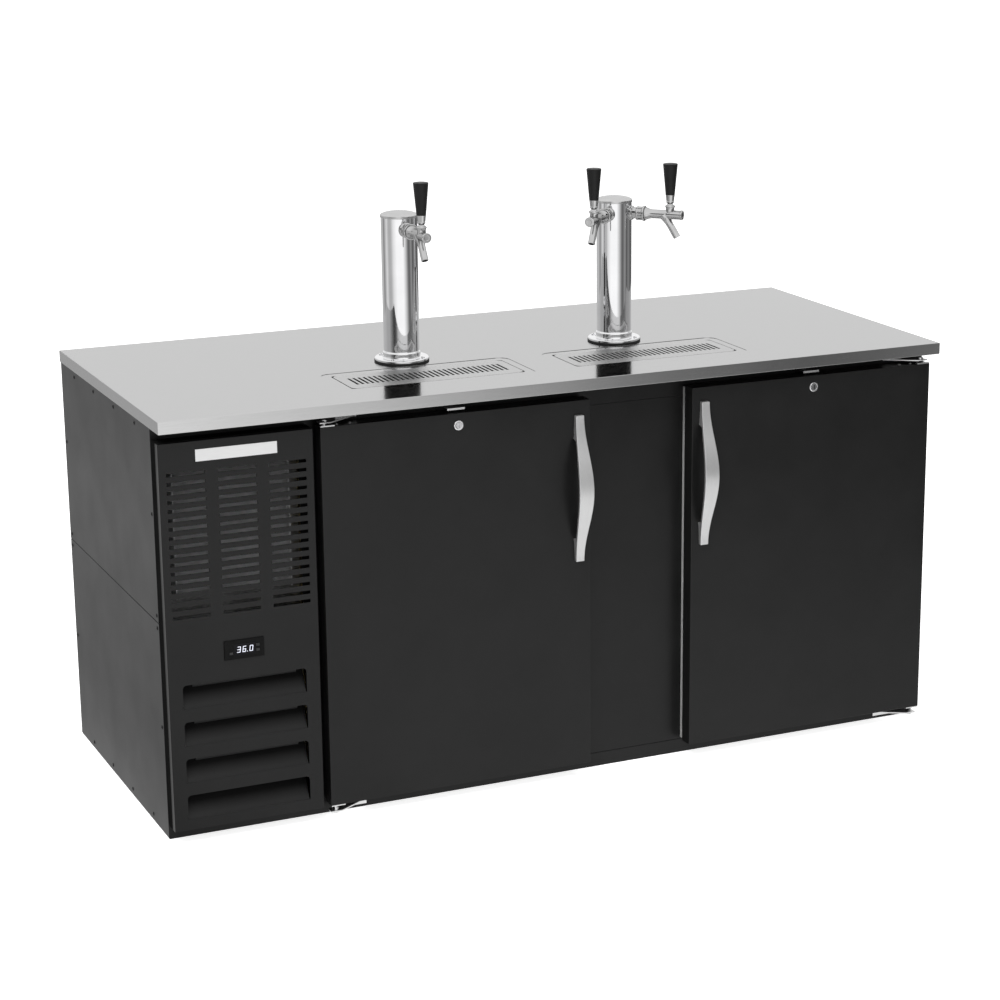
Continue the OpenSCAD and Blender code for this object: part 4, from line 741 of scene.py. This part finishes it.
# %% Spin the towers
GASKET_T, GASKET_LIP = 2.5, 3.6
GASKET_TOP = worktop_high.z + GASKET_T
FLANGE_T = 6.5
BORE_R, COLUMN_R = 36.5, 38.1
COLUMN_TOP = 1182
FLANGE_R = 57
FOOT_R = COLUMN_R + 2
LIP_IN_R, LIP_OUT_R = FLANGE_R + 0.1, FLANGE_R + 0.9
CAP_R, CAP_EDGE, CAP_CROWN = COLUMN_R + 1.4, 1.5, 8.5
column_len = COLUMN_TOP - GASKET_TOP
column = [(BORE_R, 0), (FLANGE_R, 0), (FLANGE_R, FLANGE_T - 1.5), (FLANGE_R - 1.8, FLANGE_T),
          (FOOT_R + 1.4, FLANGE_T), (FOOT_R + 0.5, FLANGE_T + 1.2), (FOOT_R, FLANGE_T + 4),
          (FOOT_R, FLANGE_T + 10.5), (COLUMN_R, FLANGE_T + 14), (COLUMN_R, column_len),
          (BORE_R, column_len)]
dome = [(CAP_R * cos(radians(a)), CAP_EDGE + CAP_CROWN * sin(radians(a))) for a in range(10, 91, 10)]
cap = [(0, -1), (COLUMN_R + 0.15, -1), (COLUMN_R + 0.15, -2.5), (CAP_R, -2.5), (CAP_R, CAP_EDGE)] + dome
gasket = [(BORE_R, 0), (LIP_OUT_R, 0), (LIP_OUT_R, GASKET_LIP), (LIP_IN_R, GASKET_LIP),
          (LIP_IN_R, GASKET_T), (BORE_R, GASKET_T)]

for tower in ("single_tower", "double_tower"):
    axis = middle(tower)
    flange_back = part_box(tower)[1].y / MM
    foot = Matrix.Translation((axis.x, flange_back - FLANGE_R, GASKET_TOP))
    turned_piece(tower + ".column", column, foot, "chrome", "cabinet", [tower],
                 radius=0.8, closed=True, steps=FINE_STEPS)
    head = Matrix.Translation((axis.x, axis.y, COLUMN_TOP))
    turned_piece(tower + ".cap", cap, head, "chrome", "cabinet", ["tower_caps"], "cap_steel",
                 radius=0.6, steps=FINE_STEPS)
    seat = Matrix.Translation((axis.x, axis.y, worktop_high.z))
    turned_piece(tower + ".gasket", gasket, seat, "black_rubber", "cabinet", ["tower_gaskets"],
                 radius=0.2, closed=True, steps=FINE_STEPS)

# %% [markdown]
# ## Taps
#
# A tap is a shank through the column with a collar, a notched coupling nut, and the faucet: a turned
# body with a spout below and a bonnet on top, where the lever's ball sits. Each tap gets a matrix
# that puts it on its tower and turns it to its angle, so all three share one set of profiles. The
# nut's notches are pushed into the spun ring. The spout is a row of circles that shrink down its
# axis, bridged one to the next, which gives the soft shoulder that a plain cylinder lacks.

# %% Where the taps are
TAP_Z = 1157
TAP_SPREAD = 45.5
LEVER_REACH = 127
PIVOT_RISE = 18
FORWARD = Matrix.Rotation(radians(90), 4, "X")
TAPS = {"single": ("single_tower", 0), "double_left": ("double_tower", -TAP_SPREAD),
        "double_right": ("double_tower", TAP_SPREAD)}


def tap_place(tap):
    """A tap's own frame: it faces along -Y, with its axis at the height of the shank."""
    tower, angle = TAPS[tap]
    axis = middle(tower)
    return Matrix.Translation((axis.x, axis.y, TAP_Z)) @ Matrix.Rotation(radians(angle), 4, "Z")


print("taps:", {tap: tap_place(tap).to_translation() for tap in TAPS})

# %% Notch the coupling nut
nut = [(12.5, 52.1), (14.4, 52.1), (15.2, 53.1), (15.2, 55.4), (14.6, 56.2), (14.6, 65.2), (15.2, 66),
       (16.5, 67.4), (16.5, 70.2), (15.4, 71.1), (12.5, 71.1)]
NUT_NOTCHES = 8
NOTCH_HALF = radians(9)
NOTCH_DEPTH = 0.88
NOTCH_FROM_R, NOTCH_TO_Z = 13.2, 66.5


def notched_nut():
    """The coupling nut with a row of notches for a spanner, about Z."""
    ring = bmesh.new()
    spun(ring, nut, radius=0.5, closed=True, steps=FINE_STEPS)
    pitch = 2 * pi / NUT_NOTCHES
    for vert in ring.verts:
        turn = Vector((1, 0)).angle_signed(vert.co.xy) % pitch
        in_notch = min(turn, pitch - turn) < NOTCH_HALF
        if in_notch and vert.co.xy.length > NOTCH_FROM_R and vert.co.z < NOTCH_TO_Z:
            vert.co.xy *= NOTCH_DEPTH
    return ring


print("nut:", NUT_NOTCHES, "notches")

# %% Draw the spout
SPOUT_ROOT, SPOUT_END = Vector((0, -114, 0)), Vector((0, -143, -48))
SPOUT_R, SPOUT_WALL, MOUTH_ROUND = 7.6, 2.0, 0.6
SPOUT_STEPS = 16
SPOUT_FLARE, FLARE_END = 5.5, 0.5
# Shares of the spout's length: its rounded mouth, and the rings inside it
MOUTH = 1.008
INSIDE = (MOUTH, 0.99, 0.6)


def spout_rings():
    """Centres and radii down the spout, then back up inside it."""
    rings = []
    for step in range(SPOUT_STEPS + 1):
        share = step / SPOUT_STEPS
        flare = SPOUT_FLARE * max(0, 1 - share / FLARE_END) ** 2
        rings.append((SPOUT_ROOT.lerp(SPOUT_END, share), SPOUT_R + flare))
    rings.append((SPOUT_ROOT.lerp(SPOUT_END, MOUTH), SPOUT_R - MOUTH_ROUND))
    rings += [(SPOUT_ROOT.lerp(SPOUT_END, share), SPOUT_R - SPOUT_WALL) for share in INSIDE]
    return rings


def drawn_spout(bm):
    """A skin over circles that all face down the spout."""
    tilt = (SPOUT_END - SPOUT_ROOT).to_track_quat("Z", "Y").to_matrix().to_4x4()
    loops = []
    for centre, radius in spout_rings():
        place = Matrix.Translation(centre) @ tilt
        made = bmesh.ops.create_circle(bm, segments=40, radius=radius, matrix=place)
        loops.append(list({edge for vert in made["verts"] for edge in vert.link_edges}))
    for upper, lower in zip(loops, loops[1:]):
        bmesh.ops.bridge_loops(bm, edges=upper + lower)
    bmesh.ops.contextual_create(bm, geom=loops[-1])


print("spout:", len(spout_rings()), "rings")

# %% Turn the shanks and faucets
shank = [(6.5, 30), (12.2, 30), (12.2, 36.5), (15.5, 36.5), (15.5, 41.8), (13.4, 44.1), (12.2, 44.1),
         (12.2, 66), (6.5, 66)]
faucet = [(0, 66.6), (12.1, 66.6), (12.1, 72.1), (13.7, 72.1), (13.3, 74.5), (11.9, 78), (10.6, 82),
          (9.9, 86.5), (9.8, 92), (9.8, 150.4), (10.5, 151.6), (10.5, 154.8), (8.8, 156), (5.4, 156),
          (4.8, 155.4), (0, 155.4)]
neck = [(0, 0), (9.4, 0), (8.9, 11), (9.2, 15), (10.6, 17)]
bonnet = [(8.4, 17), (10.6, 17), (10.9, 17.8), (10.9, 18.8), (9.9, 20), (8.9, 20), (8.4, 19)]

for tap in TAPS:
    bm = bmesh.new()
    spun(bm, shank, FORWARD, 0.5, True)
    ring = notched_nut()
    bmesh.ops.transform(ring, matrix=FORWARD, verts=ring.verts)
    join(bm, ring)
    bmesh.ops.transform(bm, matrix=tap_place(tap), verts=bm.verts)
    make_piece(tap + ".coupling", bm, "chrome", "cabinet", ["faucet_shanks", "coupling_nuts"],
               "tap_steel")

    bm = bmesh.new()
    drawn_spout(bm)
    bmesh.ops.recalc_face_normals(bm, faces=bm.faces)
    spun(bm, faucet, FORWARD, 0.35)
    over_lever = Matrix.Translation((0, -LEVER_REACH, 0))
    spun(bm, neck, over_lever)
    spun(bm, bonnet, over_lever, closed=True)
    bmesh.ops.transform(bm, matrix=tap_place(tap), verts=bm.verts)
    make_piece(tap + ".faucet", bm, "chrome", "cabinet", ["faucet_bodies"], "tap_steel")

# %% [markdown]
# ## Levers and handles
#
# Each lever turns on a ball in the bonnet. Above it comes a chrome ferrule and then the black handle,
# a plain taper that widens to the top. They ride on the lever's own body, so they tilt together when
# the tap is pulled.

# %% Turn the levers and handles
HANDLE_FOOT, HANDLE_LEN = 25, 67
BALL_R = 8
ball = [(BALL_R * sin(radians(a)), -BALL_R * cos(radians(a))) for a in range(0, 139, 12)]
lever = ball + [(6, 6), (7.2, 7.4), (8.4, 8.6), (8.4, 10.4), (7.8, 11.6), (8.4, 13),
                (9.6, HANDLE_FOOT - 1.6), (10, HANDLE_FOOT - 1), (10, HANDLE_FOOT), (0, HANDLE_FOOT)]
handle_top = HANDLE_FOOT + HANDLE_LEN
handle = [(0, HANDLE_FOOT), (9.4, HANDLE_FOOT), (10, HANDLE_FOOT + 0.8), (15.8, handle_top - 2.6),
          (16, handle_top - 1.4), (14.9, handle_top - 0.2), (13.9, handle_top), (0, handle_top)]

for tap in TAPS:
    pivot = tap_place(tap) @ Matrix.Translation((0, -LEVER_REACH, PIVOT_RISE))
    body = tap + "_lever"
    turned_piece(tap + ".lever", lever, pivot, "chrome", body, [tap + "_tap_lever"], "tap_steel")
    turned_piece(tap + ".handle", handle, pivot, "black_plastic", body, [tap + "_tap_handle"])

# %% [markdown]
# ## Door handles
#
# A door handle is a flat bar of satin steel, bowed outward and wider in the middle, with two solid
# feet. A curve with a bevel profile could follow the bow, but not the change of width and the feet.
# So a box is cut into rings along its length, and each ring is moved to where the bow and the width
# put it. The back of the bar meets the door at the feet.

# %% Bend the door handles
BOW_LEN = 312
BOW_RINGS = 52
BOW_T = 6.5
BOW_FOOT = 48
END_OUT, MID_OUT = 10, 44
END_W, MID_W = 18.5, 33
BAR_CORNER, BAR_ROUND = radians(60), 1.1


def bowed(end, mid, t):
    """A measure that swells from the ends of the bar, at t of -1 and 1, to its middle, at 0."""
    return end + (mid - end) * cos(pi / 2 * t) ** 2


def bent_handle(side):
    """The bowed bar of one door, with its feet on the door's face."""
    centre = middle(side + "_door_handle")
    door_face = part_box(side + "_door_skin")[0].y / MM
    half = BOW_LEN / 2
    bm = bmesh.new()
    block(bm, (-1, -1, -half), (1, 1, half))
    long_edges = [edge for edge in bm.edges if edge.calc_length() > half]
    bmesh.ops.subdivide_edges(bm, edges=long_edges, cuts=BOW_RINGS - 1, use_grid_fill=True)
    for vert in bm.verts:
        t = vert.co.z / half
        on_foot = abs(vert.co.z) > half - BOW_FOOT - 0.1
        out = -bowed(END_OUT, MID_OUT, t)
        back = 0 if on_foot else out + BOW_T
        vert.co.y = out if vert.co.y < 0 else back
        vert.co.x *= bowed(END_W, MID_W, t) / 2
    corners = [edge for edge in bm.edges if edge.calc_face_angle(0) > BAR_CORNER]
    round_off(bm, corners, BAR_ROUND, 3)
    bmesh.ops.translate(bm, vec=(centre.x, door_face, centre.z), verts=bm.verts)
    handle_node = side + "_door_handle"
    return make_piece(side + "_door.bow", bm, "satin_steel", side + "_door", [handle_node])


bent_handle("left")
bent_handle("right")

# %% [markdown]
# ## Locks
#
# Each door has a round cylinder lock. The fixed ring is turned, and the plug that the key turns keeps
# its solid, because its slot and cam are already right.

# %% Turn the lock rings
BACKWARD = Matrix.Rotation(radians(-90), 4, "X")
lock_ring = [(6.55, -1.5), (7.4, -3), (9.4, -3), (10.5, -1.9), (10.5, 0), (9, 0), (9, 15), (6.55, 15)]
for side in ("left", "right"):
    centre = middle(side + "_lock_body")
    door_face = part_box(side + "_door_skin")[0].y / MM
    on_door = Matrix.Translation((centre.x, door_face, centre.z))
    turned_piece(side + "_door.lock_ring", lock_ring, on_door @ BACKWARD, "satin_steel",
                 side + "_door", [side + "_lock_body"], "chrome", radius=0.4, closed=True)

# %% [markdown]
# ## Screws
#
# Small pan-head screws hold the side panels and the tower flanges. They repeat, so each has few
# faces: a circle is raised, its top is inset, and the middle is pushed in for the driver.

# %% Set the screws
SCREW_R, HEAD_T = 4, 1.2
# Shares of the head's height
HEAD_SIDE, HEAD_CROWN, RECESS = 0.6, 0.4, 0.6
CROWN_IN, LAND_IN, RECESS_IN = 0.9, 1.5, 0.3


def screw(bm, place, head):
    """A screw whose head has the given height."""
    one = bmesh.new()
    bmesh.ops.create_circle(one, cap_ends=True, segments=20, radius=SCREW_R)
    raised = bmesh.ops.extrude_face_region(one, geom=list(one.faces))["geom"]
    lifted = [part for part in raised if isinstance(part, bmesh.types.BMVert)]
    bmesh.ops.translate(one, vec=(0, 0, head * HEAD_SIDE), verts=lifted)
    top = [part for part in raised if isinstance(part, bmesh.types.BMFace)]
    bmesh.ops.inset_region(one, faces=top, thickness=CROWN_IN, depth=head * HEAD_CROWN)
    bmesh.ops.inset_region(one, faces=top, thickness=LAND_IN, depth=0)
    bmesh.ops.inset_region(one, faces=top, thickness=RECESS_IN, depth=-head * RECESS)
    bmesh.ops.recalc_face_normals(one, faces=one.faces)
    bmesh.ops.transform(one, matrix=place, verts=one.verts)
    join(bm, one)


side_low, side_high = (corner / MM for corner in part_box("left_side_panels"))
SEAM_Z = 455
SCREW_FOOT, SCREW_EDGE, SCREW_END, SCREW_ROWS = 15, 13, 110, 4
step = (side_high.y - side_low.y - 2 * SCREW_END) / (SCREW_ROWS - 1)
spots = [(side_low.y + SCREW_END + row * step, z) for row in range(SCREW_ROWS)
         for z in (SCREW_FOOT, side_high.z - SCREW_EDGE)]
spots += [(y, SEAM_Z + dz) for y in (side_low.y + SCREW_EDGE, side_high.y - SCREW_EDGE)
          for dz in (-2 * SCREW_END, -SCREW_EDGE, SCREW_EDGE, 2 * SCREW_END)]
outward = Matrix.Rotation(radians(-90), 4, "Y")
bm = bmesh.new()
for y, z in spots:
    screw(bm, Matrix.Translation((side_low.x, y, z)) @ outward, HEAD_T)
make_piece("panel_screws", bm, "black_paint", "cabinet", ["screws"])

BOLT_R = 48.5
flange_top = GASKET_TOP + FLANGE_T
bm = bmesh.new()
for tower in ("single_tower", "double_tower"):
    axis = middle(tower)
    on_flange = Matrix.Translation((axis.x, axis.y, flange_top))
    for corner in range(4):
        turn = Matrix.Rotation(radians(45 + 90 * corner), 4, "Z")
        screw(bm, on_flange @ turn @ Matrix.Translation((BOLT_R, 0, 0)), 2 * HEAD_T)
make_piece("flange_screws", bm, "satin_steel", "cabinet", ["screws"], "chrome")

# %% [markdown]
# ## Display
#
# The controller shows a temperature in seven-segment digits. A font could write it, but a real
# display has lit bars, so each bar is a thin block whose ends are cut to a point with a bevel. The
# bars lean a little, as they do on such displays, and they glow softly.

# %% Light the digits
DIGIT_W, DIGIT_H = 7.2, 12.4
DIGIT_PLACES = (-11.6, -0.4, 14.0)
POINT_PLACE = 6.2
BAR, BAR_HALF_T, BAR_PROUD = 1.5, 0.12, 0.1
BAR_POINT = 0.46
LEAN = 0.12
# Bars by place: (x, z, upright), in halves of the digit's width and height
BARS = {"top": (0, 1, False), "middle": (0, 0, False), "bottom": (0, -1, False),
        "left_up": (-1, 0.5, True), "left_down": (-1, -0.5, True),
        "right_up": (1, 0.5, True), "right_down": (1, -0.5, True)}
DIGITS = {"3": {"top", "middle", "bottom", "right_up", "right_down"},
          "6": {"top", "middle", "bottom", "left_up", "left_down", "right_down"},
          "0": {"top", "bottom", "left_up", "left_down", "right_up", "right_down"}}

finish, tree, shader = start_finish("lit_bars", 0.0, 0.5)
tint(tree, noise(tree, 400), (0.50, 0.52, 0.60), (0.62, 0.64, 0.72), shader.inputs["Base Color"])
tint(tree, noise(tree, 900), (0.86, 0.88, 1.0), (0.94, 0.95, 1.0), shader.inputs["Emission Color"])
shader.inputs["Emission Strength"].default_value = 0.6
FINISH["lit_bars"] = finish


def lit_bar(bm, x, z, length, upright):
    """One bar with pointed ends, with its middle at x and z."""
    bar = bmesh.new()
    half = length / 2
    block(bar, (-half, -BAR_HALF_T, -BAR / 2), (half, BAR_HALF_T, BAR / 2))
    ends = [edge for edge in bar.edges if abs(edge.verts[0].co.y - edge.verts[1].co.y) > BAR_HALF_T]
    bmesh.ops.bevel(bar, geom=ends, offset=BAR * BAR_POINT, offset_type="OFFSET", segments=1,
                    profile=0.5, affect="EDGES", material=-1)
    if upright:
        bmesh.ops.rotate(bar, cent=(0, 0, 0), matrix=Matrix.Rotation(pi / 2, 3, "Y"), verts=bar.verts)
    bmesh.ops.translate(bar, vec=(x, 0, z), verts=bar.verts)
    join(bm, bar)


window = middle("controller_window")
window_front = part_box("controller_window")[0].y / MM
bm = bmesh.new()
for digit, digit_x in zip("360", DIGIT_PLACES):
    for bar in sorted(DIGITS[digit]):
        x, z, upright = BARS[bar]
        length = DIGIT_H / 2 if upright else DIGIT_W
        lit_bar(bm, digit_x + x * (DIGIT_W - BAR) / 2, z * (DIGIT_H - BAR) / 2, length, upright)
block(bm, (POINT_PLACE - BAR / 2, -BAR_HALF_T, -DIGIT_H / 2),
      (POINT_PLACE + BAR / 2, BAR_HALF_T, -DIGIT_H / 2 + BAR), 0.1)
for vert in bm.verts:
    vert.co.x += LEAN * vert.co.z
bmesh.ops.translate(bm, vec=(window.x, window_front - BAR_PROUD, window.z), verts=bm.verts)
make_piece("display_digits", bm, "dark_window", "cabinet", look="lit_bars")

# %% [markdown]
# ## Louvres' lips
#
# Below the slots, the panel has four big openings with flaps that lean inward. The upper edge of each
# opening but the lowest is folded back a little, which stiffens the sheet, and the fold stops short
# of the round corners. The lip is a thin block, leaned back. It could be a bevel on the panel's own
# edge, but a block is easier to size.

# %% Fold the lips
LOUVRE_W, LOUVRE_H = 256, 50
LOUVRE_FOOT, LOUVRE_DROP = 23.5, 60
LOUVRES = 4
LIP_H, LIP_T, LIP_END, LIP_LEAN = 8.0, 1.2, 21, radians(35)
LIP_IN, LIP_UP = 0.1, 0.4
panel_x = (panel_low.x + panel_high.x) / 2
controller_z = middle("controller_case").z
lowest = panel_low.z + LOUVRE_FOOT
louvre_pitch = (controller_z - LOUVRE_DROP - LOUVRE_H - lowest) / (LOUVRES - 1)
bm = bmesh.new()
for row in range(1, LOUVRES):
    lip = bmesh.new()
    block(lip, (-LOUVRE_W / 2 + LIP_END, 0, -LIP_H), (LOUVRE_W / 2 - LIP_END, LIP_T, 0), 0.3)
    bmesh.ops.rotate(lip, cent=(0, 0, 0), matrix=Matrix.Rotation(LIP_LEAN, 3, "X"), verts=lip.verts)
    head = lowest + row * louvre_pitch + LOUVRE_H
    bmesh.ops.translate(lip, vec=(panel_x, panel_low.y + LIP_IN, head + LIP_UP), verts=lip.verts)
    join(bm, lip)
make_piece("louvre_lips", bm, "black_paint", "cabinet")

# %% [markdown]
# ## Condenser
#
# Behind the slots stands the condenser: hundreds of thin fins on rows of tube. The solid is a plain
# block, which would show as a flat plate between the slots. Here it becomes a pack of thin upright
# plates with tubes through them.

# %% Stack the fins
coil_low, coil_high = (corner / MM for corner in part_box("condenser_coil"))
coil_width = coil_high.x - coil_low.x
PLATE_T = 2
FIN_PITCH, FIN_T, FIN_END = 1.8, 0.4, 6
FIN_SHY, FIN_BACK = 2, 1
bm = bmesh.new()
fins = int((coil_width - 2 * FIN_END) / FIN_PITCH)
for number in range(fins + 1):
    x = coil_low.x + FIN_END + number * FIN_PITCH
    block(bm, (x, coil_low.y + FIN_SHY, coil_low.z + FIN_SHY),
          (x + FIN_T, coil_high.y - FIN_BACK, coil_high.z - FIN_SHY))
for x in (coil_low.x, coil_high.x - PLATE_T):
    block(bm, (x, coil_low.y, coil_low.z), (x + PLATE_T, coil_high.y, coil_high.z))
make_piece("coil_fins", bm, "fins", "cabinet", ["condenser_coil"])

# %% Lay the tubes
TUBE_ROWS, TUBE_R = 12, 4.8
TUBE_FRONT, TUBE_BACK = 15, 10
tube_len = coil_width - PLATE_T
tube = [(0, 0), (TUBE_R, 0), (TUBE_R, tube_len), (0, tube_len)]
along_coil = Matrix.Rotation(radians(90), 4, "Y")
bm = bmesh.new()
for row in range(TUBE_ROWS):
    z = coil_low.z + (row + 0.5) * (coil_high.z - coil_low.z) / TUBE_ROWS
    for y in (coil_low.y + TUBE_FRONT, coil_high.y - TUBE_BACK):
        start = Matrix.Translation((coil_low.x + PLATE_T / 2, y, z))
        spun(bm, tube, start @ along_coil, steps=16)
make_piece("coil_tubes", bm, "copper", "cabinet", look="fins")

# %% [markdown]
# ## Seams
#
# The panel between the doors is a sheet of its own. Its seams are painted dark as shade: a black
# block fills them from behind. Each seam could have its own strip. One thin block behind the whole
# panel does it too, because only the seams show it.

# %% Close the seams
DOOR_LAP, SHADE_BLOCK_PAST = 42, 3
SHADE_BLOCK_FRONT, SHADE_BLOCK_BACK = 1.35, 1.9
SHADE_BLOCK_FOOT, SHADE_BLOCK_HEAD = 28, 806
left_door = [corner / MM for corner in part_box("left_door_skin")]
right_door = [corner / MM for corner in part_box("right_door_skin")]
bm = bmesh.new()
block(bm, (left_door[1].x - DOOR_LAP - SHADE_BLOCK_PAST, frame_front + SHADE_BLOCK_FRONT, SHADE_BLOCK_FOOT),
      (right_door[0].x + DOOR_LAP + SHADE_BLOCK_PAST, frame_front + SHADE_BLOCK_BACK, SHADE_BLOCK_HEAD))
# A black block behind the seams paints them in as shade
make_piece("seam_shade_block", bm, "black_rubber", "cabinet")

# %% [markdown]
# ## Hinge shoes
#
# At each hinge, the door's edge carries a small steel shoe and two screws, which turn with the door.
# A shoe is a thin block with soft edges, and the screws are those of the panels again. They are
# placed from the door's own box, so they sit on its edge whatever its size, and the lower ones are
# turned over.

# %% Fit the hinge shoes
SHOE_T, SHOE_ROUND = 2.6, 0.5
SHOE_FROM, SHOE_TO, SHOE_FRONT = 1, 31, 1
PIVOT_BACK, PIN_CLEAR = 17, 7.5
TURNED_OVER = Matrix.Rotation(pi, 4, "X")
SHOE_SCREWS = (40, 68)
for side, (low, high) in (("left", left_door), ("right", right_door)):
    edge, inward = (low.x, 1) if side == "left" else (high.x, -1)
    pivot_y = low.y + PIVOT_BACK
    bm = bmesh.new()
    for foot, lift in ((high.z, 1), (low.z, -1)):
        ends = sorted(edge + inward * reach for reach in (SHOE_FROM, SHOE_TO))
        layers = sorted((foot, foot + lift * SHOE_T))
        block(bm, (ends[0], low.y + SHOE_FRONT, layers[0]),
              (ends[1], pivot_y - PIN_CLEAR, layers[1]), SHOE_ROUND)
        for reach in SHOE_SCREWS:
            upright = Matrix.Translation((edge + inward * reach, pivot_y, foot))
            screw(bm, upright if lift > 0 else upright @ TURNED_OVER, HEAD_T)
    make_piece(side + "_door.shoes", bm, "satin_steel", side + "_door", look="satin_steel_flat")

# %% [markdown]
# ## Ports at the back
#
# A sleeve for the gas line and a gland for the mains lead pass through the rear wall. Both are turned
# plastic parts, so each is a profile that is spun about Z and then laid down to point backward.

# %% Turn the sleeve and the gland
rear_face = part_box("rear_panel")[1].y / MM
GAS_PORT = (703, 223.5)
MAINS_PORT = (-713, 90)
sleeve = [(12.7, -52), (16.7, -52), (16.7, 0), (23.7, 0), (23.7, 1.4), (22.6, 2), (13.4, 2), (12.7, 1.2)]
gland = [(4, -12), (10, -12), (10, 0), (13, 0), (13, 3), (10, 3), (8.8, 6), (4.6, 6), (4, 5.2)]
for name, profile, (x, z) in (("gas_sleeve", sleeve, GAS_PORT), ("mains_gland", gland, MAINS_PORT)):
    on_wall = Matrix.Translation((x, rear_face, z))
    turned_piece(name, profile, on_wall @ BACKWARD, "black_plastic", "cabinet", ["wall_grommets"],
                 closed=True)
